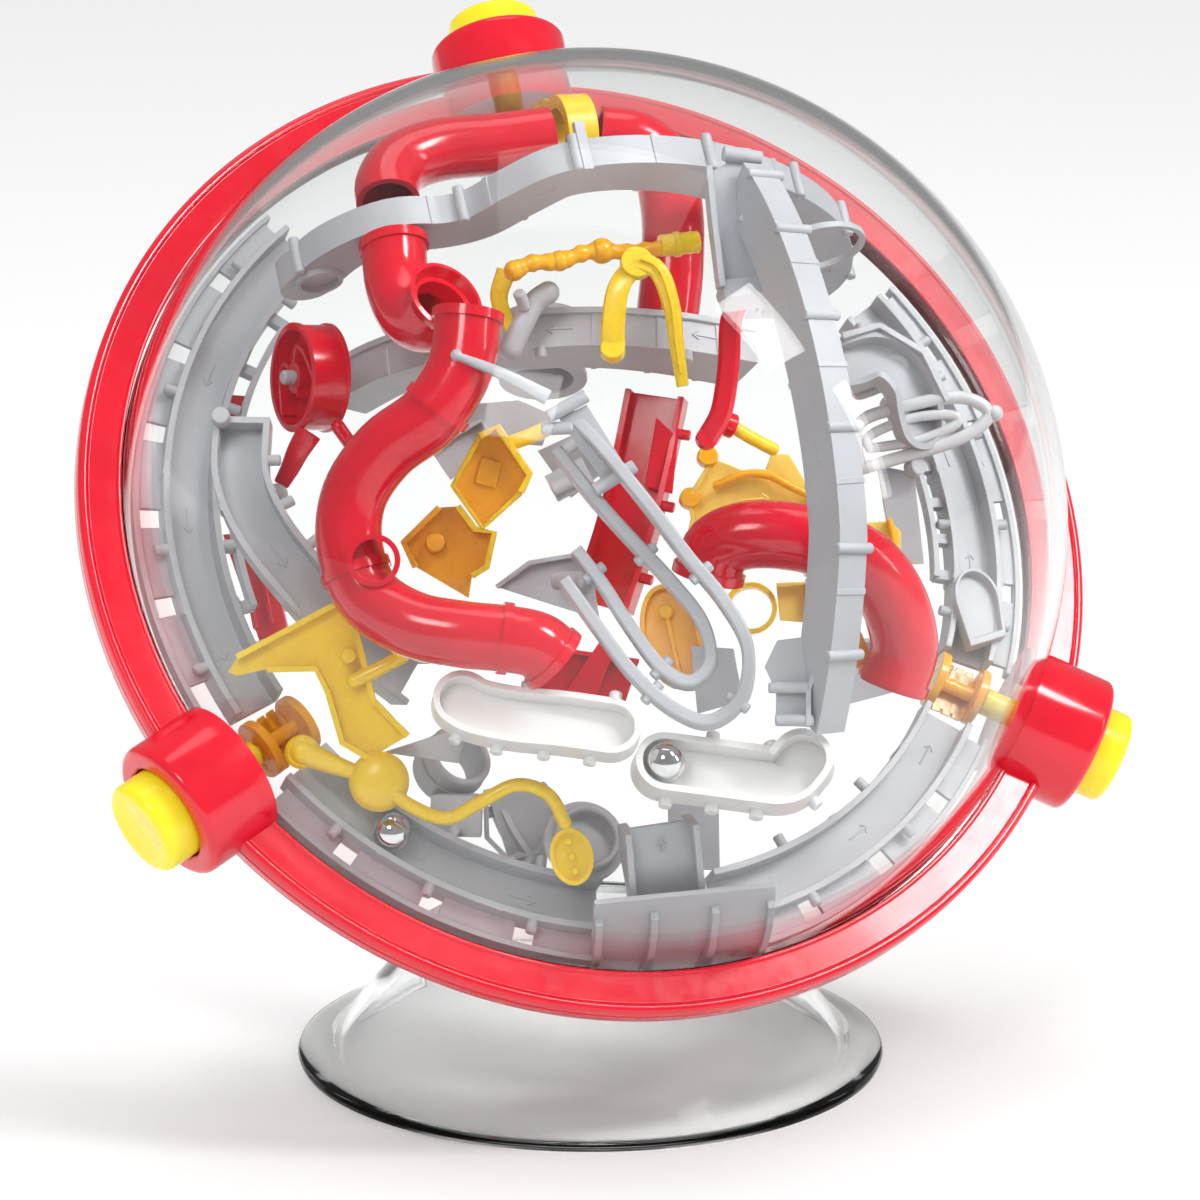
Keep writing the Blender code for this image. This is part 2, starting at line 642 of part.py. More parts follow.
# ---------------------------------------------------------------- yellow pieces
def make_yellow_pieces():
    spoon = [
        (-74.0, -47.5, 6.5),
        (-68.1, -52.2, 9),
        (-61.5, -58.0, 13),
        (-56.5, -64.0, 14),
        (-49.5, -67.8, 14.5),
        (-43.0, -66.5, 18.5),
        (-36.0, -65.0, 22),
        (-30.0, -68.0, 22.5),
        (-27.0, -73.5, 20),
        (-25.5, -79.0, 16.5),
    ]
    wire("yellow_spoon", smooth_route(spoon, 2), 3.6, "yellow")
    lower = [(-7.5, 15), (4.5, 17), (6.5, 2), (4.5, -13), (-1, -14.5), (-4.5, -8), (-6, 3)]
    plate("yellow_plate", lower, 2.4, "yellow", (-66.3, -34.5, 20), (-0.45, -0.2, 0.87), (1, 0, 0.5))
    rail = [(-22, 38, 50.5), (-14, 37.4, 53.4), (-6, 37.5, 53.0), (4.5, 37.4, 52), (15.5, 37.2, 50.5)]
    wire("bumpy_rail", smooth_route(rail, 2), 3.8, "orange")
    leg_left = [(-6.5, 14, 60.5), (-3.6, 26, 60.8), (0.9, 32.0, 59.5), (3.3, 24, 62.3), (4.5, 8, 61)]
    bar("wishbone", smooth_route(leg_left, 2), Vector((-0.3, 0.1, 0.95)), "yellow", 4.0, 2.4)
    cup = [(-6, -6), (6, -5), (7, 4), (0, 7), (-5.5, 5)]
    plate("yellow_hopper", cup, 4.0, "orange", (-32.5, -3.0, 39), (-0.4, -0.2, 0.88), (1, 0, 0.3))
    step_points = [(-5, 7), (4, 7), (6, 0), (3, -8), (-6, -8)]
    plate("yellow_step", step_points, 3.0, "orange", (-43.5, -17.5, 27), (-0.4, -0.2, 0.88), (1, 0, 0.3))
    deck = [(-14, 7), (-4, 9.5), (7, 9), (15, 5), (15, -6), (4, -9), (-12, -8)]
    plate("yellow_deck", deck, 3.0, "yellow", (29, -10.5, 27.5), (-0.33, -0.1, 0.93), (1, -0.3, 0.3))
    oval = arc(1, 0, 330, 11)
    oval = [(6.2 * x, 10.5 * y) for x, y in oval]
    plate("orange_oval", oval, 3.0, "orange", (0, -40, 31.5), (-0.33, -0.1, 0.9), (1, 0, 0.3))
    spot = seat((23.6, -30.5, 19.4), (-0.33, -0.2, 0.9), UP)
    turned("yellow_hoop", [(5.2, 2.0), (5.2, -2.0), (3.9, -2.0), (3.9, 2.0)], "yellow", 16, matrix=spot)


# ---------------------------------------------------------------- middle of the maze
def make_middle_pieces():
    drum = seat((-6.5, 36, 12), (0.2, 1, 0), FRONT)
    turned("centre_drum", [(9.5, 7), (9.5, -7), (6.5, -7), (6.5, 7)], "grey", 18, matrix=drum)
    loops = [(50, 0, 27), (62, 4, 30), (75, 7.5, 30), (81, 4, 29), (75, -1, 29), (62, -3, 29), (50, -5, 28)]
    wire("wire_loop", smooth_route(loops, 2), 3.0, "white")


# ---------------------------------------------------------------- steel balls
def make_steel_balls():
    lift = TRACK_FLOOR + GAP + STEEL_BALL / 2
    run = [Vector(p) for p in LOWER_TRAY_RUN]
    _, _, up = frame_at(run, 0, TRAY_OPENING)
    on_tray = run[0] + up * lift
    turn = radians(BALL_ON_RIM_ANGLE)
    on_rim = Vector((cos(turn), sin(turn), 0)) * RIM_TRACK_RADIUS + FRONT * (lift - TRACK_HEIGHT / 2)
    for name, centre in (("steel_ball_1", on_tray), ("steel_ball_2", on_rim)):
        mesh = bmesh.new()
        bmesh.ops.create_icosphere(mesh, subdivisions=2, radius=STEEL_BALL / 2 * MM)
        spot = Matrix.Translation(centre * MM)
        place(name, mesh_data(name, mesh, 60), "steel", matrix=spot)


def main():
    make_stand()
    frames = make_shell_and_ring()
    make_ring_screws()
    make_gates(frames)
    make_rim_tracks()
    make_start_channel()
    make_grey_tracks()
    make_centre_loop()
    make_white_trays()
    make_red_tubes()
    make_red_strips()
    make_wheel()
    make_yellow_pieces()
    make_middle_pieces()
    make_steel_balls()


main()
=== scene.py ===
"""Looks of the tilt maze game: every moulded piece in detail, its materials, the light and the camera."""

from math import atan2, cos, degrees, pi, radians, sin, sqrt

import bmesh
import bpy
from mathutils import Matrix, Vector


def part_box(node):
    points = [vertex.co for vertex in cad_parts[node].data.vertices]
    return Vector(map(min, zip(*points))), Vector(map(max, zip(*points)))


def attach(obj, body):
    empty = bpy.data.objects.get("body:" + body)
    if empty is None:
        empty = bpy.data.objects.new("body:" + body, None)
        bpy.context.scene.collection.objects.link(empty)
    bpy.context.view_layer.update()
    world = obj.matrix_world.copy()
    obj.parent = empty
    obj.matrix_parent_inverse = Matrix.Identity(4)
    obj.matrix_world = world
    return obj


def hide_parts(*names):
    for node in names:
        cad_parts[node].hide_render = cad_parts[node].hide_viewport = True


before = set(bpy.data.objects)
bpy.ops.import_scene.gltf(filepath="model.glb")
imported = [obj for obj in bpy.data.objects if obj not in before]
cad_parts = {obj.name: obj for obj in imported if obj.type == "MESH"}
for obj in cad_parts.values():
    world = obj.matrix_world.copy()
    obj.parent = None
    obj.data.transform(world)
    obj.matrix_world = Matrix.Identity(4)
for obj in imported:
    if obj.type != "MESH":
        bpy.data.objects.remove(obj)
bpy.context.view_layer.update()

# ------ driving dimensions (mm, degrees)
MM = 0.001
SHELL_RADIUS = 101.6
SHELL_WALL = 2.4
FLANGE_RADIUS = 105.1
CENTRE_HEIGHT = 118.4
RING_AXIS_RISE = 37.4
RING_OUTER = 111.0
RING_INNER = 102.0
RING_HALF = 3.2
SPLIT = 0.15
HUB_ANGLES = {"top": 88.4, "left": 208.4, "right": 328.4}
HUB_RADIUS = 15.0
HUB_TOP = 117.6
KNOB_RADIUS = 10.0
KNOB_TOP = 124.4
TRACK_WIDTH = 11.5
TRACK_WALL = 1.4
TRACK_HEIGHT = 6.5
TRACK_FLOOR = 1.5
RIM_TRACK_RADIUS = 87.0
TUBE_RADIUS = 6.7
TUBE_WALL = 1.3
STEEL_BALL = 7.94
ROLLING_ROOM = 0.15  # the tray floor lies this much lower, so that the rolling ball stays clear of it
GATE_REACH = 6.0
GATE_RADIUS = 6.3
GATE_CORE = 5.4
GATE_DISCS = 5
MERIDIAN_RADIUS = 82.0
MERIDIAN_START = 31
MERIDIAN_END = -54.5
ARROW_LENGTH = 5.5
SHARP_ANGLE = 38  # edges under this angle are shaded smooth and get no bevel
TRAY_END_STEPS = 14
STRAP_SIDES = 10
GLOSS_SPREAD = 0.06  # how much the roughness of moulded plastic varies

UP = Vector((0, 1, 0))
FRONT = Vector((0, 0, 1))
PLAYER = Vector((-0.33, -0.37, 0.87))  # the way that most of the flat inner pieces face
OFF_AXIS = UP + FRONT * 0.31  # a direction that no tube or rod runs along
BALL = Matrix.Translation((0, 0, CENTRE_HEIGHT * MM)) @ Matrix.Rotation(radians(90 - RING_AXIS_RISE), 4, "X")
HALVES = (("front", Matrix()), ("rear", Matrix.Rotation(pi, 4, "X")))


# ------ materials
def new_material(name):
    made = bpy.data.materials.new(name)
    made.use_nodes = True
    tree = made.node_tree
    return made, tree, tree.nodes["Principled BSDF"]


def put(node, values):
    """Sets inputs of a shader node by name."""
    for name, value in values.items():
        node.inputs[name].default_value = value


def noise(tree, scale, detail=3.0, stretch=(1, 1, 1)):
    """Noise over the piece's own coordinates, which are in metres."""
    spot = tree.nodes.new("ShaderNodeTexCoord")
    scaled = tree.nodes.new("ShaderNodeMapping")
    made = tree.nodes.new("ShaderNodeTexNoise")
    put(scaled, {"Scale": stretch})
    put(made, {"Scale": scale, "Detail": detail})
    tree.links.new(spot.outputs["Object"], scaled.inputs["Vector"])
    tree.links.new(scaled.outputs["Vector"], made.inputs["Vector"])
    return made.outputs["Fac"]


def ramp(tree, value, low, high, start=0.35, end=0.65):
    """Maps a 0-1 value to a range of numbers or colours."""
    made = tree.nodes.new("ShaderNodeValToRGB")
    for element, position, level in zip(made.color_ramp.elements, (start, end), (low, high)):
        element.position = position
        element.color = level if hasattr(level, "__len__") else (level, level, level, 1)
    tree.links.new(value, made.inputs["Fac"])
    return made.outputs["Color"]


def roughen(tree, shader, height, strength, distance):
    """Tilts a surface's normals by a height map."""
    bump = tree.nodes.new("ShaderNodeBump")
    put(bump, {"Strength": strength, "Distance": distance})
    tree.links.new(height, bump.inputs["Height"])
    tree.links.new(bump.outputs["Normal"], shader.inputs["Normal"])


def shade(colour, factor):
    return (*[min(1.0, c * factor) for c in colour[:3]], 1)


def moulded(name, colour, rough, vary, grain=0.02, coat=0.0, subsurface=0.0):
    """Moulded plastic: faint flow marks in colour, uneven gloss, fine grain and hairline scratches."""
    made, tree, shader = new_material(name)
    flow = ramp(tree, noise(tree, 38), shade(colour, 1 - vary), shade(colour, 1 + vary))
    gloss = ramp(tree, noise(tree, 260, 4), rough - GLOSS_SPREAD / 2, rough + GLOSS_SPREAD / 2)
    tree.links.new(flow, shader.inputs["Base Color"])
    tree.links.new(gloss, shader.inputs["Roughness"])
    both = tree.nodes.new("ShaderNodeMath")
    both.operation = "ADD"
    tree.links.new(noise(tree, 2600, 2), both.inputs[0])
    tree.links.new(noise(tree, 900, 2, (1, 0.04, 1)), both.inputs[1])
    roughen(tree, shader, both.outputs[0], grain, 0.0004)
    put(shader, {"Coat Weight": coat, "Coat Roughness": 0.06, "IOR": 1.5})
    if subsurface:
        put(shader, {"Subsurface Weight": subsurface, "Subsurface Scale": 0.003})
        put(shader, {"Subsurface Radius": (1.0, 0.7, 0.5)})
    return made


def clear_plastic(name, tint, rough=0.01, bend=1.3):
    """Clear plastic that casts no shadow, because a thin wall lets the lamps' light through."""
    made, tree, shader = new_material(name)
    dust = ramp(tree, noise(tree, 90, 5), rough, rough + 0.02, 0.45, 0.75)
    tree.links.new(dust, shader.inputs["Roughness"])
    roughen(tree, shader, noise(tree, 22, 1), 0.03, 0.001)
    put(shader, {"Base Color": tint, "Transmission Weight": 1.0, "IOR": bend})
    path = tree.nodes.new("ShaderNodeLightPath")
    through = tree.nodes.new("ShaderNodeBsdfTransparent")
    mix = tree.nodes.new("ShaderNodeMixShader")
    tree.links.new(path.outputs["Is Shadow Ray"], mix.inputs["Fac"])
    tree.links.new(shader.outputs[0], mix.inputs[1])
    tree.links.new(through.outputs[0], mix.inputs[2])
    tree.links.new(mix.outputs[0], tree.nodes["Material Output"].inputs["Surface"])
    return made


def polished_steel(name):
    made, tree, shader = new_material(name)
    smudge = noise(tree, 420, 4)
    colour = ramp(tree, smudge, (0.66, 0.66, 0.68, 1), (0.80, 0.80, 0.82, 1))
    tree.links.new(ramp(tree, smudge, 0.03, 0.12), shader.inputs["Roughness"])
    tree.links.new(colour, shader.inputs["Base Color"])
    put(shader, {"Metallic": 1.0})
    return made


RED = moulded("red_plastic", (0.72, 0.004, 0.022), 0.16, vary=0.07, coat=0.4)
LIME = moulded("lime_plastic", (0.90, 0.78, 0.012), 0.26, vary=0.05, coat=0.2, subsurface=0.1)
YELLOW = moulded("yellow_plastic", (0.92, 0.62, 0.018), 0.28, vary=0.08, coat=0.2, subsurface=0.1)
ORANGE = moulded("orange_plastic", (0.96, 0.42, 0.010), 0.28, vary=0.16, coat=0.2, subsurface=0.1)
AMBER = moulded("amber_plastic", (0.96, 0.66, 0.13), 0.30, vary=0.10, coat=0.2, subsurface=0.1)
GREY = moulded("grey_plastic", (0.49, 0.50, 0.53), 0.42, vary=0.05, grain=0.03)
MIST = moulded("mist_plastic", (0.66, 0.67, 0.69), 0.24, vary=0.05, coat=0.3)
WHITE = moulded("white_plastic", (0.84, 0.83, 0.82), 0.32, vary=0.03, coat=0.2, subsurface=0.1)
CLEAR = clear_plastic("clear_shell", (0.98, 0.99, 0.985, 1))
STAND_CLEAR = clear_plastic("clear_stand", (0.96, 0.97, 0.965, 1), 0.04, 1.2)
STEEL = polished_steel("polished_steel")


# ------ routes
def smooth_route(points, steps=6):
    """A smooth curve through given points in mm (Catmull-Rom)."""
    points = [Vector(p) for p in points]
    padded = [2 * points[0] - points[1], *points, 2 * points[-1] - points[-2]]
    route = []
    for a, b, c, d in zip(padded, padded[1:], padded[2:], padded[3:]):
        for i in range(steps):
            t = i / steps
            across = 2 * b + (c - a) * t + (2 * a - 5 * b + 4 * c - d) * t * t
            route.append((across + (3 * b - a - 3 * c + d) * t**3) * 0.5)
    return [*route, points[-1]]


def arc(radius, start, end, steps, centre=(0, 0)):
    turns = [radians(start + (end - start) * i / steps) for i in range(steps + 1)]
    return [(centre[0] + radius * cos(t), centre[1] + radius * sin(t)) for t in turns]


def circle_route(radius, start, end, height, steps):
    return [Vector((x, y, height)) for x, y in arc(radius, start, end, steps)]


def cut_circle(radius, chord):
    """A circle without the part beyond a chord, so that it clears the floor of a track."""
    turn = degrees(atan2(sqrt(radius**2 - chord**2), chord))
    return arc(radius, turn, 360 - turn, 28)


def angles(count):
    """Equal turns round a circle."""
    return [2 * pi * k / count for k in range(count)]


def oblong(left, low, right, high):
    return [(left, low), (right, low), (right, high), (left, high)]


def frame_at(route, i, opening):
    ahead = (route[min(i + 1, len(route) - 1)] - route[max(i - 1, 0)]).normalized()
    across = ahead.cross(opening).normalized()
    return ahead, across, across.cross(ahead)


def along(route, share):
    """The index of the route point nearest to a share of its length."""
    return min(len(route) - 1, max(0, round(share * (len(route) - 1))))


def place(route, share, opening):
    """A point at a share of the route, with the directions ahead, across and up."""
    i = along(route, share)
    return route[i], *frame_at(route, i, opening)


def seat(middle, normal, lean):
    """A matrix whose Z is the normal and whose X leans along a direction, at a place in mm."""
    z = Vector(normal).normalized()
    y = z.cross(Vector(lean)).normalized()
    x = y.cross(z)
    return Matrix.Translation(Vector(middle)) @ Matrix((x, y, z)).transposed().to_4x4()


def flattened(points, sight=PLAYER):
    """The corners slid along the line of sight until they share one plane."""
    points = [Vector(p) for p in points]
    middle = sum(points, Vector()) / len(points)
    normal = Vector()
    for near, far in zip(points, points[1:] + points[:1]):
        normal += (near - middle).cross(far - middle)
    normal.normalize()
    return [p - sight * ((p - middle).dot(normal) / sight.dot(normal)) for p in points]


# ------ shapes
def placed(name, data):
    """A new object in the scene that shows this mesh, lamp or camera."""
    made = bpy.data.objects.new(name, data)
    bpy.context.scene.collection.objects.link(made)
    return made


class Shape:
    """One moulded piece, put together in mm in the ball's frame."""

    def __init__(self):
        self.mesh = bmesh.new()

    def quads(self, rows):
        """Faces between rows of corners, each row a closed ring."""
        for near, far in zip(rows, rows[1:]):
            for k in range(len(near)):
                self.mesh.faces.new((near[k - 1], near[k], far[k], far[k - 1]))
        return self

    def skin(self, loops):
        """Faces between closed loops of points, with both ends filled."""
        rows = [[self.mesh.verts.new(p) for p in loop] for loop in loops]
        self.quads(rows)
        self.mesh.faces.new(rows[0][::-1])
        self.mesh.faces.new(rows[-1])
        return self

    def sweep(self, outline, route, opening):
        """Carry a flat outline (across, up) along a route."""
        loops = []
        for i, point in enumerate(route):
            _, across, up = frame_at(route, i, opening)
            loops.append([point + across * s + up * h for s, h in outline])
        return self.skin(loops)

    def trough(self, route, opening=FRONT, width=TRACK_WIDTH, height=TRACK_HEIGHT):
        half, lip = width / 2, width / 2 - TRACK_WALL
        outer = [(-half, height), (-half, 0), (half, 0), (half, height)]
        inner = [(lip, height), (lip, TRACK_FLOOR), (-lip, TRACK_FLOOR), (-lip, height)]
        return self.sweep(outer + inner, route, opening)

    def tray(self, route, opening, width=TRACK_WIDTH, height=TRACK_HEIGHT):
        """A trough with a wall round each end too."""
        half, lip = width / 2, width / 2 - TRACK_WALL
        swings = [pi * k / TRAY_END_STEPS for k in range(1, TRAY_END_STEPS)]
        loops = []
        for reach, lift in ((half, 0), (half, height), (lip, height), (lip, TRACK_FLOOR)):
            sides = [[], []]
            for i, point in enumerate(route):
                _, across, up = frame_at(route, i, opening)
                for side, sign in zip(sides, (1, -1)):
                    side.append(point + across * sign * reach + up * lift)
            ends = []
            for i, sign in ((len(route) - 1, 1), (0, -1)):
                ahead, across, up = frame_at(route, i, opening)
                turned = [(across * cos(t) + ahead * sin(t)) * sign * reach for t in swings]
                ends.append([route[i] + p + up * lift for p in turned])
            loops.append([*sides[0], *ends[0], *reversed(sides[1]), *ends[1]])
        return self.skin(loops)

    def circles(self, route, radii, sides):
        """Rings of points about a route, turned as little as possible from one to the next."""
        ahead, _, _ = frame_at(route, 0, OFF_AXIS)
        side = ahead.orthogonal().normalized()
        rings = []
        for i, point in enumerate(route):
            ahead, _, _ = frame_at(route, i, OFF_AXIS)
            side = (side - ahead * side.dot(ahead)).normalized()
            other = ahead.cross(side)
            rings.append([point + (side * cos(t) + other * sin(t)) * radii[i] for t in angles(sides)])
        return rings

    def rod(self, route, radius, sides=18):
        """A solid round rod with domed ends."""
        route = [Vector(p) for p in route]
        radii = list(radius) if hasattr(radius, "__len__") else [radius] * len(route)
        caps = [(sin(t), cos(t)) for t in (radians(72), radians(45), radians(20))]
        start = (route[0] - route[1]).normalized()
        end = (route[-1] - route[-2]).normalized()
        near = [route[0] + start * radii[0] * s for s, _ in caps]
        far = [route[-1] + end * radii[-1] * s for s, _ in reversed(caps)]
        radii = [radii[0] * c for _, c in caps] + radii + [radii[-1] * c for _, c in reversed(caps)]
        return self.skin(self.circles(near + route + far, radii, sides))

    def pipe(self, route, radius=TUBE_RADIUS, wall=TUBE_WALL, sides=36):
        """An open tube with a wall."""
        outer = self.circles(route, [radius] * len(route), sides)
        inner = self.circles(route, [radius - wall] * len(route), sides)
        rows = [[self.mesh.verts.new(p) for p in loop] for loop in (*outer, *reversed(inner))]
        return self.quads([*rows, rows[0]])

    def turn(self, profile, matrix, sides=48):
        """Turn a (radius, height) outline about the matrix's Z axis."""
        rows = []
        for r, z in profile:
            if r == 0:
                rows.append([self.mesh.verts.new(matrix @ Vector((0, 0, z)))])
                continue
            ring = [matrix @ Vector((r * cos(t), r * sin(t), z)) for t in angles(sides)]
            rows.append([self.mesh.verts.new(p) for p in ring])
        pairs = list(zip(rows, rows[1:]))
        if profile[0][0] > 0:
            pairs.append((rows[-1], rows[0]))
        for near, far in pairs:
            for k in range(sides):
                corners = []
                for row, index in ((near, k - 1), (near, k), (far, k), (far, k - 1)):
                    corner = row[index % len(row)]
                    if corner not in corners:
                        corners.append(corner)
                if len(corners) > 2:
                    self.mesh.faces.new(corners)
        return self

    def band(self, outer, inner, high, low, matrix, sides=48):
        """A flat ring between two radii and two heights."""
        return self.turn([(outer, high), (outer, low), (inner, low), (inner, high)], matrix, sides)

    def drum(self, start, end, radius, sides=24):
        """A plain cylinder between two points."""
        start, end = Vector(start), Vector(end)
        length = (end - start).length
        edge = min(0.25, radius / 4)
        outline = [(0, length), (radius - edge, length), (radius, length - edge), (radius, edge)]
        matrix = seat(start, end - start, (end - start).orthogonal())
        return self.turn([*outline, (radius - edge, 0), (0, 0)], matrix, sides)

    def ball(self, centre, radius, segments=28):
        matrix = Matrix.Translation(Vector(centre)) @ Matrix.Diagonal((radius, radius, radius, 1))
        bmesh.ops.create_uvsphere(
            self.mesh, u_segments=segments, v_segments=segments // 2, radius=1, matrix=matrix
        )
        return self

    def prism(self, outline, low, high, matrix):
        """A flat outline pulled up from one height to another."""
        return self.skin([[matrix @ Vector((x, y, z)) for x, y in outline] for z in (low, high)])

    def plate(self, outline, thickness, matrix):
        return self.prism(outline, -thickness / 2, thickness / 2, matrix)

    def slab(self, points, thickness, facing=PLAYER):
        """A flat piece whose front face has these corners."""
        back = Vector(facing).normalized() * -thickness
        front = flattened(points)
        return self.skin([front, [p + back for p in front]])

    def rimmed(self, points, rise, wall, floor, facing):
        """A shallow tray: a floor with these corners and a wall all round it."""
        out = Vector(facing).normalized()
        outer = flattened(points)
        middle = sum(outer, Vector()) / len(outer)
        inner = [p.lerp(middle, wall) for p in outer]
        low = [p - out * floor for p in outer]
        return self.skin([low, [p + out * rise for p in outer], [p + out * rise for p in inner], inner])

    def wall(self, points, height, thickness=1.0, facing=PLAYER):
        """An upright strip that stands on a line of points."""
        outline = oblong(-thickness / 2, -0.4, thickness / 2, height)
        return self.sweep(outline, [Vector(p) for p in points], facing)

    def strap(self, route, opening, width, thickness, end_width):
        """A flat strap with rounded edges, which tapers along its route."""
        loops = []
        for i, point in enumerate(route):
            _, across, up = frame_at(route, i, opening)
            half = (width + (end_width - width) * i / (len(route) - 1)) / 2
            edge = [(t, max(-0.8, min(0.8, sin(t)))) for t in angles(STRAP_SIDES)]
            loops.append([point + across * half * cos(t) + up * thickness / 2 * rise for t, rise in edge])
        return self.skin(loops)

    def arrow(self, at, ahead, facing=PLAYER):
        """A raised arrow, a generic mark for the way the ball rolls."""
        ahead, facing = Vector(ahead).normalized(), Vector(facing).normalized()
        at = Vector(at)
        across = facing.cross(ahead)
        self.block((ARROW_LENGTH, 0.45, 0.5), seat(at, facing, ahead))
        for side in (1, -1):
            barb = (ahead * -1 + across * side * 0.7).normalized()
            self.block((1.9, 0.45, 0.5), seat(at + ahead * ARROW_LENGTH / 2 + barb * 0.8, facing, barb))
        return self

    def block(self, size, matrix):
        x, y, z = size
        return self.plate(oblong(-x / 2, -y / 2, x / 2, y / 2), z, matrix)

    def lugs(self, route, opening, shares, side, height, radius=1.15, length=2.6, width=TRACK_WIDTH):
        """Small round clips on the edge of a track, where its neighbours plug in."""
        for share in shares:
            at, _, across, up = place(route, share, opening)
            foot = at + across * side * width / 2 + up * height
            self.drum(foot - across * side * 0.6, foot + across * side * length, radius, 16)
        return self

    def joints(self, route, opening, shares, height=TRACK_HEIGHT):
        """Thin raised bands where two lengths of track meet."""
        for share in shares:
            at, ahead, across, up = place(route, share, opening)
            for side in (-1, 1):
                spot = at + across * side * TRACK_WIDTH / 2 + up * height / 2
                self.block((1.3, 0.5, height + 0.3), seat(spot, up, ahead))
        return self

    def finish(self, name, material, *nodes, body="maze_ball", bevel=0.22, matrix=BALL):
        """Makes the object, sets the body it rides on and hides the CAD nodes that it stands in for."""
        bmesh.ops.recalc_face_normals(self.mesh, faces=self.mesh.faces)
        self.mesh.transform(matrix @ Matrix.Scale(MM, 4))
        data = bpy.data.meshes.new(name)
        self.mesh.to_mesh(data)
        self.mesh.free()
        data.materials.append(material)
        data.shade_smooth()
        data.set_sharp_from_angle(angle=radians(SHARP_ANGLE))
        made = placed(name, data)
        if bevel:
            edge = made.modifiers.new("edges", "BEVEL")
            edge.width = bevel * MM
            edge.segments = 2
            edge.limit_method = "ANGLE"
            edge.angle_limit = radians(SHARP_ANGLE)
            edge.harden_normals = True
        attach(made, body)
        if nodes:
            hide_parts(*nodes)


# ------ stand, shell and ring
def make_stand():
    outer = [
        (39.4, 24.3),
        (40.0, 24.6),
        (40.5, 24.2),
        (41.4, 22.4),
        (46.0, 16.9),
        (52.0, 9.6),
        (55.6, 5.0),
        (57.2, 3.5),
        (58.6, 2.9),
        (62.6, 2.5),
        (63.7, 2.0),
        (64.0, 1.2),
        (63.7, 0.3),
        (63.2, 0.0),
    ]
    inner = [(56.4, 0.0), (55.2, 0.6), (54.6, 1.2), (46.0, 11.7), (38.9, 20.4), (38.3, 22.2), (38.9, 23.7)]
    Shape().turn(outer + inner, Matrix(), 144).finish(
        "clear_stand", STAND_CLEAR, "stand", body="stand", bevel=0, matrix=Matrix()
    )


def make_shells():
    inner_radius = SHELL_RADIUS - SHELL_WALL
    top = SPLIT + 1.9
    rise = degrees(atan2(top, SHELL_RADIUS))
    outline = [(0, SHELL_RADIUS), *arc(SHELL_RADIUS, 90, rise, 64)[1:]]
    flange = [(FLANGE_RADIUS, top), (FLANGE_RADIUS, SPLIT)]
    inside = [*arc(inner_radius, 0.1, 90, 64)[:-1], (0, inner_radius)]
    for side, turn in HALVES:
        Shape().turn(outline + flange + inside, turn, 160).finish(
            f"{side}_shell_clear", CLEAR, f"{side}_shell", bevel=0
        )


def make_ring():
    """Each half is a flat band with a bead round its outer and inner edge."""
    outer_bead = [(108.9, 2.7), (109.3, 3.05), (109.9, 3.2), (110.6, 3.05), (111.0, 2.5), (111.0, SPLIT)]
    inside = [(105.4, SPLIT), (105.4, 2.3), (RING_INNER, 2.3), (RING_INNER, 2.9)]
    profile = [(102.3, 3.1), (102.8, 3.1), (103.1, 2.7), *outer_bead, *inside]
    for side, turn in HALVES:
        Shape().turn(profile, turn, 192).finish(f"{side}_ring_band", RED, f"{side}_ring", bevel=0.15)


def hub_matrix(angle):
    return seat((0, 0, 0), (cos(radians(angle)), sin(radians(angle)), 0), FRONT)


def make_hubs_and_knobs():
    base = [(r, sqrt(SHELL_RADIUS**2 - r * r) + 0.1) for r in (HUB_RADIUS, 12, 8, 3.6)]
    for name, angle in HUB_ANGLES.items():
        at = hub_matrix(angle)
        rim = arc(1.8, 0, 90, 6, (HUB_RADIUS - 1.8, HUB_TOP - 1.8))
        crown = [*rim, (10.9, HUB_TOP), (10.5, HUB_TOP - 0.4), (10.5, 112.0), (3.6, 112.0)]
        Shape().turn([*crown, *reversed(base)], at, 96).finish(
            f"{name}_hub_sleeve", RED, f"{name}_hub", bevel=0
        )
        edge = arc(1.7, 90, 0, 6, (KNOB_RADIUS - 1.7, KNOB_TOP - 1.7))
        face = [(0, KNOB_TOP - 0.15), (6.6, KNOB_TOP - 0.15), (7.0, KNOB_TOP)]
        shaft = [(KNOB_RADIUS, 112.6), (3.0, 112.6), (3.0, 93.4), (0, 93.4)]
        Shape().turn([*face, *edge, *shaft], at, 72).finish(
            f"{name}_knob_cap", LIME, f"{name}_knob", body=f"{name}_knob_group", bevel=0
        )


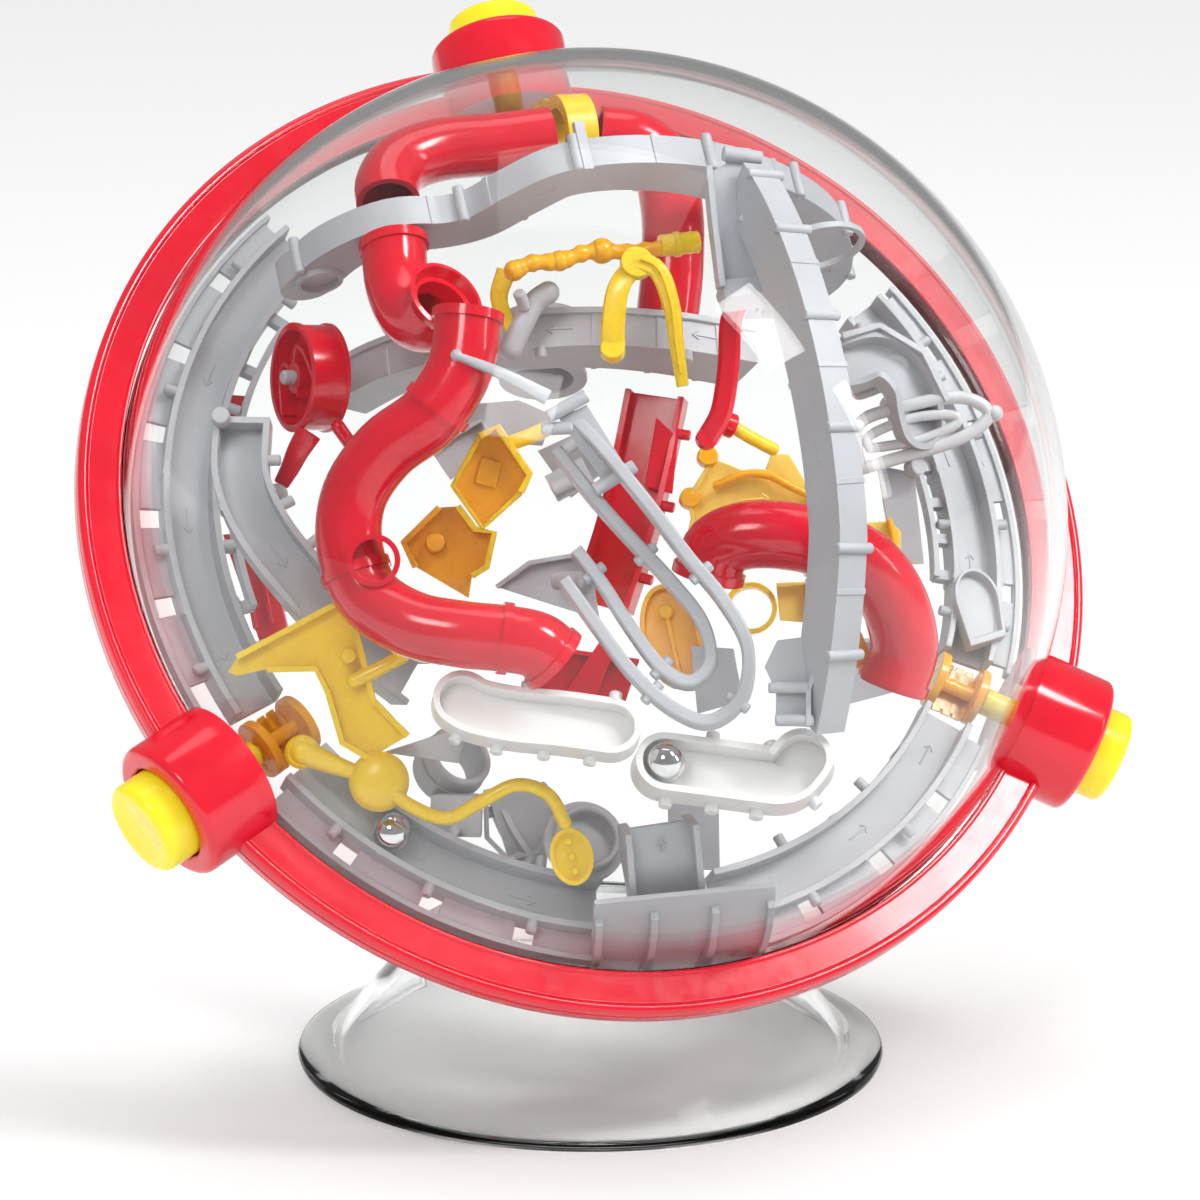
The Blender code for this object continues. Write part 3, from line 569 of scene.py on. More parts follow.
def make_gates():
    """A drum of five discs on each side knob, cut to clear the track, and a ring on the top knob's arm."""
    low, high = RIM_TRACK_RADIUS - GATE_REACH, RIM_TRACK_RADIUS + GATE_REACH
    floor = TRACK_FLOOR - TRACK_HEIGHT / 2
    cheek = TRACK_WIDTH / 2 - TRACK_WALL
    for name in ("left", "right"):
        at = hub_matrix(HUB_ANGLES[name])
        gate = Shape()
        for i in range(GATE_DISCS):
            start = low + (high - low) * i / GATE_DISCS
            stop = start + (high - low) / GATE_DISCS - 0.5
            deep = start > RIM_TRACK_RADIUS - cheek - 1 and stop < RIM_TRACK_RADIUS + cheek + 1
            outline = cut_circle(GATE_RADIUS, floor) if deep else arc(GATE_RADIUS, 0, 350, 35)
            gate.prism(outline, start, stop, at)
        gate.drum(at @ Vector((0, 0, low)), at @ Vector((0, 0, high)), 1.6)
        gate.prism(cut_circle(GATE_CORE, floor), low + 0.2, high - 0.2, at)
        gate.finish(f"{name}_gate_drum", ORANGE, f"{name}_gate", body=f"{name}_knob_group")
    gate = Shape().band(8.6, 5.6, 3.4, -3.4, seat((1.5, 75.0, 36.5), (1, 0, 0), UP))
    points = [(2.6, 91.8, -3), (2.4, 91.0, 8), (2.0, 89.4, 20), (1.6, 86.0, 31), (1.5, 82.4, 36.5)]
    gate.sweep(oblong(-3.2, -0.9, 3.2, 0.9), smooth_route(points), Vector((0, 1, 0.3)))
    gate.finish("top_gate_ring", YELLOW, "top_gate", body="top_knob_group")


# ------ grey tracks
def make_rim_tracks():
    spans = {
        "rim_track_left": (126, 203.4, (0.12, 0.4, 0.68, 0.9), (0.25, 0.55, 0.8)),
        "rim_track_lower_left": (213.4, 259, (0.2, 0.5, 0.8), (0.35, 0.7)),
        "rim_track_lower_right": (276, 323.4, (0.25, 0.6), (0.45, 0.8)),
        "rim_track_right": (333.4, 392, (0.1, 0.35, 0.6, 0.85), (0.2, 0.5, 0.75)),
    }
    for name, (start, end, clips, bands) in spans.items():
        route = circle_route(RIM_TRACK_RADIUS, start, end, -TRACK_HEIGHT / 2, int((end - start) / 1.5))
        track = Shape().trough(route)
        for side in (1, -1):
            track.lugs(route, FRONT, clips, side, TRACK_HEIGHT - 1.2)
        track.joints(route, FRONT, bands)
        flange(track, start, end)
        for share in bands:
            turn = start + (end - start) * (share + 0.07)
            x, y = cos(radians(turn)), sin(radians(turn))
            at = Vector((x * RIM_TRACK_RADIUS, y * RIM_TRACK_RADIUS, TRACK_FLOOR - TRACK_HEIGHT / 2))
            track.arrow(at, (-y, x, 0), FRONT)
        if name in ("rim_track_left", "rim_track_right"):
            inner_rail(track, start + 12, end - 14)
        track.finish(f"{name}_moulding", GREY, name)


def flange(track, start, end):
    """A ledge outside the track that fills the space up to the clear shell, with slots through it."""
    near, far = RIM_TRACK_RADIUS + TRACK_WIDTH / 2 - 0.2, 97.6
    outline = oblong(-(far - near) / 2, -0.6, (far - near) / 2, 0.6)
    turn = start + 1.0
    while turn < end - 4:
        stop = min(turn + 9.5, end - 1)
        track.sweep(outline, circle_route((near + far) / 2, turn, stop, -1.0, 10), FRONT)
        turn = stop + 2.6
    track.sweep(oblong(-0.6, -1.6, 0.6, 1.6), circle_route(far, start, end, -1.0, 50), FRONT)


def inner_rail(track, start, end):
    """A thin rail beside the track, held by short links, so that slots show between them."""
    reach = RIM_TRACK_RADIUS - TRACK_WIDTH / 2 - 3.4
    track.sweep(oblong(-0.7, -1.6, 0.7, 1.6), circle_route(reach, start, end, 0.2, 50), FRONT)
    links = 5
    for i in range(links + 1):
        turn = radians(start + 0.6 + (end - start - 1.2) * i / links)
        out = Vector((cos(turn), sin(turn), 0))
        track.block((4.4, 2.4, 2.4), seat(out * (reach + 1.9), FRONT, out))


TOP_TROUGH = [
    (-58, 50, 21),
    (-53, 50, 33),
    (-44, 50, 41),
    (-34, 50, 41),
    (-26, 50, 44),
    (-19, 50, 53),
    (-11, 50, 61),
    (3, 50, 62.5),
    (20, 50, 58),
    (37, 50, 48),
    (52, 50, 34),
    (61, 50, 18),
    (62, 50, 4),
    (52, 50, -3),
]


def make_top_trough():
    route = smooth_route(TOP_TROUGH)
    shape = Shape().tray(route, UP)
    for share in (0.04, 0.30, 0.47, 0.60, 0.70, 0.79, 0.88, 0.96):
        at, _, across, _ = place(route, share, UP)
        foot = at + across * (TRACK_WIDTH / 2 + 0.4)
        shape.drum(foot - UP * 0.8, foot + UP * (TRACK_HEIGHT + 1.0), 1.15, 16)
    shape.joints(route, UP, (0.2, 0.36, 0.55, 0.68, 0.8))
    for share in (0.14, 0.42, 0.64, 0.76, 0.86):
        at, ahead, _, _ = place(route, share, UP)
        shape.arrow(at, ahead, -UP)
    post = route[along(route, 0.47)] + FRONT * (TRACK_WIDTH / 2 + 0.6)
    shape.block((1.6, 2.2, 11.0), seat(post + UP * 4.5, UP, FRONT))
    for share, reach in ((0.02, 5.0), (0.97, 5.6)):
        shape.band(reach, reach - 1.0, 0.4, -1.3, seat(route[along(route, share)], UP, FRONT), 40)
    shape.band(10.4, 9.2, 0.7, -0.7, seat((45, 38, 49), UP, FRONT), 40)
    shape.finish("top_trough_moulding", GREY, "top_trough")

    facing = Vector((-0.1, 0.25, 0.96))
    plate = Shape()
    front = [(15, 45, 72), (19, 46.5, 72.5), (20.5, 50.5, 72), (25, 49.5, 72.5), (25.5, 41, 73)]
    low = [(21, 33.5, 69), (26, 33, 70.5), (25.5, 24, 67), (20, 19.5, 65), (15, 22, 64.5)]
    plate.slab([*front, *low], 2.4, facing)
    plate.wall([(14.6, 45.5, 71.5), (14.2, 34, 68.5), (14.4, 22, 64.5)], 5.0, 1.3, (-0.2, -0.3, 0.93))
    plate.wall([(20.5, 34, 69.5), (23.0, 37, 71), (25.8, 33, 70.5)], 2.4, 1.2, facing)
    plate.block((11.5, 4.6, 5.0), seat((19.6, 20.0, 66.0), facing, (1, 0, 0)))
    plate.drum((18.5, 48.5, 73.0), (26.5, 46.5, 73.4), 1.5, 20)
    plate.drum((24.0, 35.2, 73.2), (30.0, 33.4, 74.2), 1.5, 20)
    plate.finish("top_plate_bracket", GREY, "top_plate")


def meridian_route(steps=60):
    """A circle in a plane beside the ball's centre; its lower end drifts to the left."""
    route = []
    for i in range(steps + 1):
        angle = radians(MERIDIAN_START + (MERIDIAN_END - MERIDIAN_START) * i / steps)
        drift = -9.0 * max(0.0, -sin(angle) - 0.45)
        height, depth = MERIDIAN_RADIUS * sin(angle), MERIDIAN_RADIUS * cos(angle)
        route.append(Vector((20.5 + drift, height, depth)))
    return route


def make_meridian():
    opening = Vector((0.98, 0, -0.2))
    route = meridian_route()
    track = Shape().trough(route, opening)
    for share in (0.03, 0.16, 0.33, 0.52, 0.70, 0.86):
        at, _, across, up = place(route, share, opening)
        foot = at + across * TRACK_WIDTH / 2
        track.drum(foot - up * 0.8, foot + up * (TRACK_HEIGHT + 1.0), 1.1, 16)
    track.joints(route, opening, (0.24, 0.42, 0.6, 0.77))
    for share in (0.3, 0.55):
        at, ahead, _, up = place(route, share, opening)
        track.arrow(at, ahead, -up)
    facing = Vector((-0.33, -0.37, 0.87))
    end = [(21, -52, 55.5), (12.5, -52.5, 56.0), (9.5, -57, 53.5), (11.5, -61.5, 51.5), (10.5, -68, 49.5)]
    track.slab([*end, (16.5, -69.5, 51), (17.5, -62.5, 53), (21.5, -56, 55)], 2.0, facing)
    track.wall([(21, -52, 55.5), (21.5, -56, 55), (17.5, -62.5, 53), (16.5, -69.5, 51)], 2.4, 1.1, facing)
    track.drum((9.6, -61.0, 52.5), (17.2, -62.6, 54.6), 1.1, 16)
    track.drum((10.2, -67.2, 50.4), (17.4, -68.8, 52.6), 1.2, 16)
    track.finish("meridian_track_moulding", GREY, "meridian_track")


def make_middle_track():
    points = [(-47, 33, -4), (-38, 32, 10), (-24, 29, 22), (-6, 25, 31), (12, 21, 34), (30, 18, 31)]
    route = smooth_route(points)
    track = Shape().trough(route, UP, height=8.0)
    track.joints(route, UP, (0.2, 0.36, 0.5, 0.64, 0.78, 0.9), height=8)
    track.sweep(oblong(TRACK_WIDTH / 2 - 0.4, 7.2, TRACK_WIDTH / 2 + 0.9, 8.6), route, UP)
    for share in (0.58, 0.86):
        at, ahead, across, up = place(route, share, UP)
        track.arrow(at + across * TRACK_WIDTH / 2 + up * 4, -ahead, across)
        foot = at + across * (TRACK_WIDTH / 2 - 1.2) - ahead * 4
        track.drum(foot - up * 2.2, foot + up * 0.5, 1.3, 16)
    track.finish("middle_track_moulding", GREY, "middle_track")


def make_lower_left():
    points = [(-77, 19, 20), (-79, 7, 18), (-76, -4, 16), (-69, -15, 13), (-60, -24, 7), (-48, -32, 0)]
    opening = Vector((-0.3, 0, 1))
    route = smooth_route(points)
    track = Shape().trough(route, opening)
    track.lugs(route, opening, (0.12, 0.33, 0.5, 0.66, 0.82), -1, TRACK_HEIGHT - 1.2)
    track.joints(route, opening, (0.25, 0.6, 0.85))
    at, ahead, _, up = place(route, 0.45, opening)
    track.arrow(at + up * TRACK_FLOOR, ahead, up)
    at, _, across, up = place(route, 0, opening)
    track.block((TRACK_WIDTH, 1.4, TRACK_HEIGHT), seat(at + up * TRACK_HEIGHT / 2, up, across))
    track.drum(at + across * 4 + up * 6, at + across * 4 + up * 9.5, 1.9, 18)
    track.finish("left_channel_moulding", GREY, "left_channel")

    socket = seat((-41, -50, -9), (0.25, 0.1, 1), UP)
    cup = Shape().turn([(7.0, 8.6), (6.6, 9.0), (5.8, 9.0), (5.4, 8.6), (5.4, 0), (7.0, 0)], socket, 48)
    cup.band(7.4, 6.8, 5.2, 4.0, socket)
    cup.finish("lower_socket_cup", GREY, "lower_socket")

    route = smooth_route([(-27.5, -57.5, -8), (-26, -64, -8), (-23, -71, -8)])
    shelf = Shape().trough(route, FRONT)
    shelf.lugs(route, FRONT, (0.2, 0.8), 1, 4.0).lugs(route, FRONT, (0.5,), -1, 4.0)
    shelf.block((10.5, 8.5, 8.0), seat((-42, -61.5, -2), PLAYER, (1, -0.2, 0.2)))
    shelf.slab([(-35, -57, -1), (-23, -58.5, 3), (-22.5, -67, -0.5), (-26, -71, -3), (-32, -71, -5)], 1.4)
    shelf.wall([(-35, -57, -1), (-35.5, -66, -5), (-32, -71, -5), (-26, -71, -3), (-22.5, -67, -0.5)], 2.4)
    shelf.slab([(-58, -50, 8), (-41, -48.5, 15), (-44, -55.5, 12)], 1.4)
    shelf.finish("lower_shelf_moulding", GREY, "lower_shelf")


def make_start_channel():
    fall = [(-9, -77.5, 24.5), (-8, -85.5, 18.5), (-5.5, -90.5, 10), (-3.2, -92.5, 0), (-2, -91.5, -8)]
    route = smooth_route(fall)
    opening = Vector((0.05, 0.95, -0.2))
    channel = Shape().trough(route, opening, 14.0, 5.0)
    curve = [(-7, -86.5, 31), (-5.5, -91.5, 20), (-3, -94.5, 7), (-1, -95.3, -6), (1, -93.5, -16)]
    outside = smooth_route(curve)
    outward = Vector((0.05, 0.95, 0.1))
    apron = outside[along(outside, 0.22) :]
    channel.sweep(oblong(-18.5, -1.2, 18.5, 0), apron, outward)
    for fin in (-17.5, -6.2, 6.2, 17.5):
        channel.sweep(oblong(fin - 0.8, -3.0, fin + 0.8, 0), apron[2:-2], outward)
    for edge in (-7.0, 7.0):
        channel.sweep(oblong(edge - 0.7, -3.2, edge + 0.7, 5.0), route[: along(route, 0.6)], opening)
    _, ahead, _, _ = place(outside, 0.1, outward)
    channel.arrow(route[along(route, 0.12)] - opening.normalized() * 0.2, -ahead, -opening)
    channel.finish("start_channel_moulding", GREY, "start_channel")

    at = Matrix.Translation((-19, -73.2, 5.0))
    cup = [(0, 1.5), (5.6, 1.5), (5.6, 4.6), (6.0, 5.0), (6.6, 5.0), (7.0, 4.6), (7.0, 0), (0, 0)]
    Shape().turn(cup, at).band(8.6, 6.8, 2.4, 0.8, at).finish("end_cup_moulding", GREY, "end_cup")


def make_right_tracks():
    """The links beside the right rim track: a short tray, a shield-shaped pocket and struts."""
    route = smooth_route([(51, 15.5, 35), (57.5, 15.5, 37), (62.5, 10.5, 36), (64.5, 3, 32.5)])
    track = Shape().tray(route, FRONT, 11.0, 4.6)
    track.lugs(route, FRONT, (0.2, 0.7), -1, 3.4, width=11.0)
    track.wall([(50, 21, 38.5), (58, 22, 40), (66, 15.5, 40), (70, 5.5, 37)], 2.6, 1.4, FRONT)
    track.finish("upper_right_tray", GREY)

    pocket = Shape()
    arch = [(82 + 5.4 * cos(t), -27.5 + 7.5 * sin(t), 3.2) for t in (pi * k / 12 for k in range(13))]
    shield = [*arch, (77.5, -38, 3.0), (86.5, -36.5, 3.2)]
    pocket.rimmed(shield, 2.2, 0.14, 1.4, FRONT)
    pocket.slab([(47, -33, 3), (61, -35.5, 7), (60, -45.5, 2.5), (46, -46, -3)], 1.4)
    pocket.wall([(47, -33, 3), (61, -35.5, 7), (60, -45.5, 2.5)], 2.4)
    pocket.slab([(57, -3, 26), (64, -6, 27.5), (64.5, -24, 20), (59, -23, 18)], 2.0)
    pocket.wall([(57, -3, 26), (59, -23, 18)], 3.2)
    pocket.drum((63.5, -5, 27.5), (64, -6, 31), 2.0, 20)
    pocket.finish("right_pocket", GREY)


def make_inner_links():
    """Grey links between the tracks in the middle of the ball."""
    link = Shape()
    link.slab([(-38.5, 11.5, 19.5), (-28, 15, 24.5), (-24.5, 9.5, 23.5), (-35, 5, 18)], 3.0)
    link.wall([(-38.5, 11.5, 19.5), (-28, 15, 24.5), (-24.5, 9.5, 23.5)], 2.2)
    link.slab([(-37, 20, 22), (-20, 17.5, 28), (-13, 13, 28.5), (-16, 8, 25), (-36, 14, 19)], 1.6)
    link.slab([(-18, 6, 27), (-9, 8, 31), (-4, 0, 29.5), (-12, -4, 24)], 1.6)
    link.drum((-17, 1.5, 34), (-10.5, 4, 37.5), 1.5, 20)
    link.drum((-19, -6, 33), (-12.5, -4, 36), 1.5, 20)
    link.block((8.5, 6.0, 4.0), seat((-14.5, -3.5, 32.5), PLAYER, (1, 0.3, 0.4)))
    link.finish("inner_link", GREY)

    low = Shape()
    low.slab([(2, -44, 36), (10, -46.5, 38.5), (11, -56.5, 34.5), (2, -57, 31)], 1.2)
    shelf = [(-35, -26, 32.5), (-28.5, -23, 36.5), (-20, -23, 38.5), (-16, -29.5, 37)]
    low.slab([*shelf, (-15.5, -36, 34.5)], 1.4)
    low.wall(shelf, 1.8)
    low.slab([(3, -62.5, 2), (13, -64.5, 5), (12, -79.5, -2), (2, -77.5, -5)], 2.0)
    low.drum((-25.5, -29, 40.0), (-21.0, -30.5, 43.5), 1.8, 20)
    low.finish("lower_link", GREY)

    stem = smooth_route([(-22.5, 25, 37), (-20, 29, 39.5), (-17, 33, 41.5), (-14, 34.5, 43)])
    post = Shape().rod(stem, 2.4, 20)
    post.drum((-19.5, 31.5, 42.5), (-21.5, 33.5, 46), 1.3, 16)
    post.finish("short_post", GREY, bevel=0)

    spot = seat((-6.5, 36, 12), (0.2, 1, 0), FRONT)
    drum = Shape()
    ribs = [(9.5, 7), (9.5, 5.6), (9.0, 5.4), (9.0, 1.0), (9.5, 0.8), (9.5, -0.8), (9.0, -1.0), (9.0, -5.4)]
    drum.turn([*ribs, (9.5, -5.6), (9.5, -7), (6.5, -7), (6.5, 7)], spot, 64)
    drum.finish("centre_drum_collar", GREY, "centre_drum")


LOOP_OUTER = [
    (-24, -1, 62),
    (-19, -11, 65),
    (-12, -24, 65),
    (-5, -36, 63),
    (1, -45, 61),
    (5, -54, 58),
    (4, -62, 52),
    (-2, -65, 47),
    (-9, -61, 46),
    (-16, -53, 47),
    (-22, -43, 49),
    (-27, -33, 50),
]
LOOP_INNER = [
    (-25, -8, 57),
    (-20, -19, 58),
    (-14, -29, 58),
    (-7, -39, 57),
    (-2, -47, 55),
    (-1, -54, 52),
    (-5, -57, 49),
    (-10, -53, 48),
    (-15, -44, 49),
    (-19, -35, 50),
    (-23, -27, 50),
]


def make_centre_loop():
    face = Vector((-0.33, -0.1, 0.9))
    outline = [(-1.3, -2.3), (1.3, -2.3), (1.3, 1.9), (0.9, 2.3), (-0.9, 2.3), (-1.3, 1.9)]
    clips = {"loop_rail_outer": (0.3, 0.56, 0.78), "loop_rail_inner": (0.24, 0.7, 0.93)}
    for name, points in (("loop_rail_outer", LOOP_OUTER), ("loop_rail_inner", LOOP_INNER)):
        route = smooth_route(points)
        rail = Shape().sweep(outline, route, face)
        for share in clips[name]:
            at, _, across, up = place(route, share, face)
            spot = at + up * 0.6
            rail.drum(spot - across * 2.6, spot + across * 2.6, 1.15, 18)
        rail.finish(f"{name}_moulding", GREY, name)
    head = Shape()
    head.slab([(-26, -4.5, 65), (-20.5, -3, 67.5), (-14.5, -15, 64.5), (-19, -17, 62)], 2.4)
    head.drum((-28.5, -4.2, 65.6), (-20.6, -1.6, 68.9), 1.4, 20)
    head.drum((-20.8, -19.2, 61.6), (-12.6, -16.2, 65.6), 1.4, 20)
    head.drum((-29.5, -5.6, 63.2), (-23.5, -6.5, 64.6), 1.3, 20)
    wedge = smooth_route([(-45.2, 9.6, 67.6), (-37.5, 5, 68.3), (-28.5, -1.2, 68.2)])
    head.strap(wedge, face, 1.6, 3.0, 3.4)
    head.ball((-45.2, 9.8, 67.6), 1.2, segments=20)
    head.finish("loop_pointer_head", GREY, "loop_pointer", bevel=0.15)


def make_white_trays():
    opening = Vector((-0.25, 0.05, 1))
    upper = [(-48, -51.5, 33), (-45, -54, 33.5), (-38, -57, 35), (-29.5, -59.6, 37), (-20.5, -62.8, 39)]
    route = smooth_route(upper)
    tray = Shape().tray(route, opening, 12.0, 5.5)
    tray.lugs(route, opening, (0.15, 0.4, 0.65, 0.9), 1, 1.6, 1.3, 1.6, 12.0)
    tray.lugs(route, opening, (0.55, 0.98), -1, 4.4, 1.3, 1.6, 12.0)
    at, ahead, _, up = place(route, 0.62, opening)
    tray.arrow(at + up * TRACK_FLOOR, -ahead, up)
    tray.finish("white_tray_upper_moulding", WHITE, "white_tray_upper")
    lower = [(-10, -70, 34.5), (-4, -71.7, 35.1), (2, -73.4, 35.7), (8, -75.1, 36.3), (14, -76.5, 37.6)]
    room = opening.normalized() * ROLLING_ROOM
    route = [p - room for p in smooth_route([*lower, (18.5, -73.5, 39.5)])]
    tray = Shape().tray(route, opening, 12.4)
    tray.lugs(route, opening, (0.02, 0.35, 0.62, 0.88), 1, 1.8, 1.4, 1.8, 12.4)
    tray.lugs(route, opening, (0.3, 0.8), -1, 5.0, 1.4, 1.8, 12.4)
    tray.finish("white_tray_lower_moulding", WHITE, "white_tray_lower")


# ------ red pieces
def collar(tube, at, ahead, radius=TUBE_RADIUS):
    """A raised band round a tube."""
    tube.band(radius + 0.6, radius - 0.3, 1.0, -1.0, seat(at, ahead, Vector(ahead).orthogonal()), 40)


def collared_pipe(points, radius, shares):
    """A tube through the points, with raised bands at some shares of its length."""
    route = smooth_route(points)
    tube = Shape().pipe(route, radius)
    for share in shares:
        at, ahead, _, _ = place(route, share, UP)
        collar(tube, at, ahead, radius)
    return tube


def make_red_tubes():
    elbow = [(-3.2, 74.6, 36.2), (-14, 74.3, 35), (-27, 74.0, 34.5), (-36.5, 70.8, 35), (-41.3, 65, 36.5)]
    drop = [(7.3, 73.8, 37.2), (15, 71.5, 38), (20, 66, 37), (21, 56, 34), (19.5, 45, 31), (17, 34, 27)]
    for name, points in (("elbow_tube", [*elbow, (-42.3, 60.4, 37.8)]), ("drop_tube", drop)):
        Shape().pipe(smooth_route(points)).finish(f"{name}_red", RED, name, body="top_knob_group")
    hook = [(-44.5, 48, 42), (-45.5, 39, 42), (-45, 31, 44.5), (-43, 27, 49.5), (-41.5, 28, 55)]
    tube = Shape().pipe(smooth_route(hook))
    scoop = seat((-41.5, 28, 53.5), (0.3, 0.1, 0.95), UP)
    tube.turn([(6.2, -1.5), (7.6, 0.5), (8.4, 2.8), (7.5, 3.0), (6.7, 1.2), (5.4, -1.0)], scoop, 40)
    collar(tube, (-44.5, 48, 42), (0.05, 1, 0))
    tube.finish("hook_tube_red", RED, "hook_tube")
    fall = [(-40, 19.6, 64.5), (-42.5, 10.6, 61.6), (-49, 2.7, 56), (-57.6, -1.1, 48.9), (-63.6, -7.3, 41.9)]
    swing = [(-65.4, -16.3, 37.5), (-63.3, -26.9, 36.2), (-57.1, -35.5, 40.3), (-48.5, -40.0, 43.6)]
    foot = [(-40.0, -42.4, 45.0), (-34.0, -44.6, 45.6), (-30.8, -47.4, 44.6)]
    tube = collared_pipe([*fall, *swing, *foot], TUBE_RADIUS, (0.0, 0.16, 0.5, 0.82, 1.0))
    boss = [Vector(p) for p in ((-62.3, -21.8, 41.5), (-63.0, -22.7, 43.8), (-63.8, -23.6, 46))]
    tube.pipe(boss, 5.3, 1.1, 32)
    tube.finish("s_tube_red", RED, "s_tube")
    rise = [(8.4, -30, 37.2), (10.5, -25.2, 41.6), (17, -25.0, 46.1), (27.6, -28.4, 49.0)]
    fall = [(37.7, -33.5, 48.3), (44.4, -40.0, 43.6), (47.7, -48.6, 36.8), (44.9, -55.6, 31.5)]
    collared_pipe([*rise, *fall], 7.0, (0.02, 0.45, 0.98)).finish("arch_tube_red", RED, "arch_tube")


def make_red_strips():
    """The flat red pieces: a chute through the middle, a curved strip, a folded fin and a panel."""
    opening = Vector((-0.3, 0.3, 0.9))
    route = smooth_route([(15.5, 21, 16.5), (10.7, 7, 11.4), (5.4, -6.6, 6.2), (-1, -19.8, 0.7)])
    chute = Shape().trough(route, opening, 13.0, 5.0)
    chute.lugs(route, opening, (0.15, 0.5, 0.85), -1, 3.4, width=13.0)
    chute.slab([(12, 14.5, 21), (16, 9.5, 20.5), (14, -1, 15), (8.5, 1.5, 14.5)], 1.4)
    chute.finish("red_chute_moulding", RED, "red_chute")

    bend = [(23, 25.5, 58.5), (19.5, 19.5, 55), (18.5, 12.5, 51.5), (17.5, 7.5, 49), (16, 2.5, 46)]
    route = smooth_route([*bend, (13, -1.5, 43)])
    outline = [(-2.3, -1.2), (2.3, -1.2), (2.3, 0.4), (1.4, 1.2), (-1.4, 1.2), (-2.3, 0.4)]
    strip = Shape().sweep(outline, route, Vector((-0.3, 0, 1)))
    strip.drum((13, -1.5, 42.2), (12.8, -1.6, 44.2), 2.3)
    strip.drum((16.8, 2.0, 43.4), (19.6, 0.8, 43.0), 2.6)
    strip.finish("red_strip_band", RED, "red_strip")
    pin = Shape().rod([(19.5, 1, 42.6), (22.5, -1.2, 42.2), (26, -3.4, 41.8), (27.5, -4.2, 41.5)], 1.4)
    pin.finish("strip_pin_round", YELLOW, "strip_pin", bevel=0)

    fin = Shape().slab([(-28, -44, 19), (-21.5, -37.5, 24), (-6.5, -43, 27.5), (-10, -50.5, 23)], 1.6)
    fin.slab([(-23.5, -48, 23), (-14.5, -38.5, 30), (-12, -41, 29.5), (-17.5, -50.5, 24)], 1.2)
    fin.wall([(-28, -44, 19), (-21.5, -37.5, 24), (-6.5, -43, 27.5)], 2.6)
    fin.finish("red_fin_folded", RED, "red_fin")
    at = seat((-72, -2, -13), (-0.5, 0, 0.86), (1, 0, 0))
    panel = Shape().plate([(-4.5, 13), (4.5, 11), (5.5, -12), (-1.0, -13)], 1.6, at)
    for x in (-1.2, 2.4):
        panel.plate(oblong(x - 0.5, 10, x + 0.5, -10), 3.0, at)
    panel.finish("red_panel_ribbed", RED, "red_panel")


# ------ the wheel
WHEEL_CENTRE = Vector((-61.5, 29.0, 21.5))
WHEEL_AXIS = Vector((-0.95, 0.0, 0.17)).normalized()


def make_wheel():
    """A red drum that spins on a pin, with thin arched ribs inside its open face."""
    at = seat(WHEEL_CENTRE, WHEEL_AXIS, UP)
    rim = [(11.0, -4.2), (11.4, -4.0), (11.4, -3.3), (11.0, -3.1), (11.0, 3.1), (11.4, 3.3), (11.4, 4.0)]
    wheel = Shape().turn([*rim, (11.0, 4.2), (9.9, 4.2), (9.9, -4.2)], at, 64)
    wheel.turn([(9.95, 0.6), (9.95, -0.6), (1.7, -0.6), (1.7, 3.8), (3.2, 3.8), (3.2, 0.6)], at, 48)
    arches = [(-8.6, -4.6), (-6.6, 2.2), (-4.0, 4.9), (-1.4, 2.6), (0, -4.0)]
    arches += [(-x, y) for x, y in reversed(arches[:-1])]
    ribs = [at @ Vector((p.y, p.x, 0.5)) for p in smooth_route([(x, y, 0) for x, y in arches], 3)]
    wheel.wall(ribs, 3.4, 0.9, WHEEL_AXIS)
    wheel.finish("spinner_wheel_drum", RED, "spinner_wheel", body="wheel")
    pin = Shape().turn([(0, 6.4), (1.1, 6.4), (1.5, 6.0), (1.5, -5.0), (0, -5.0)], at, 28)
    pin.finish("spinner_pin_round", GREY, "spinner_pin", bevel=0)

    arm = smooth_route([(-64.0, 16.6, 21.5), (-66.2, 14.0, 18.5), (-67.8, 11.5, 15.5), (-69.6, 9.2, 12.8)])
    lever = Shape().strap(arm, PLAYER, 5.6, 1.8, 3.4)
    lever.rod(smooth_route([(-58.5, 16.2, 24), (-56.5, 13.5, 22.5), (-54.5, 12.5, 20)]), 1.5)
    lever.slab([(-69, 43.5, -14.5), (-66, 42.5, -13.5), (-66.5, 35.5, -16.5), (-70, 36.5, -17.5)], 3.0)
    lever.finish("red_lever", RED)
    knob = Shape().ball((-70.6, 7.4, 12.0), 2.3)
    knob.finish("lever_ball", GREY, bevel=0)


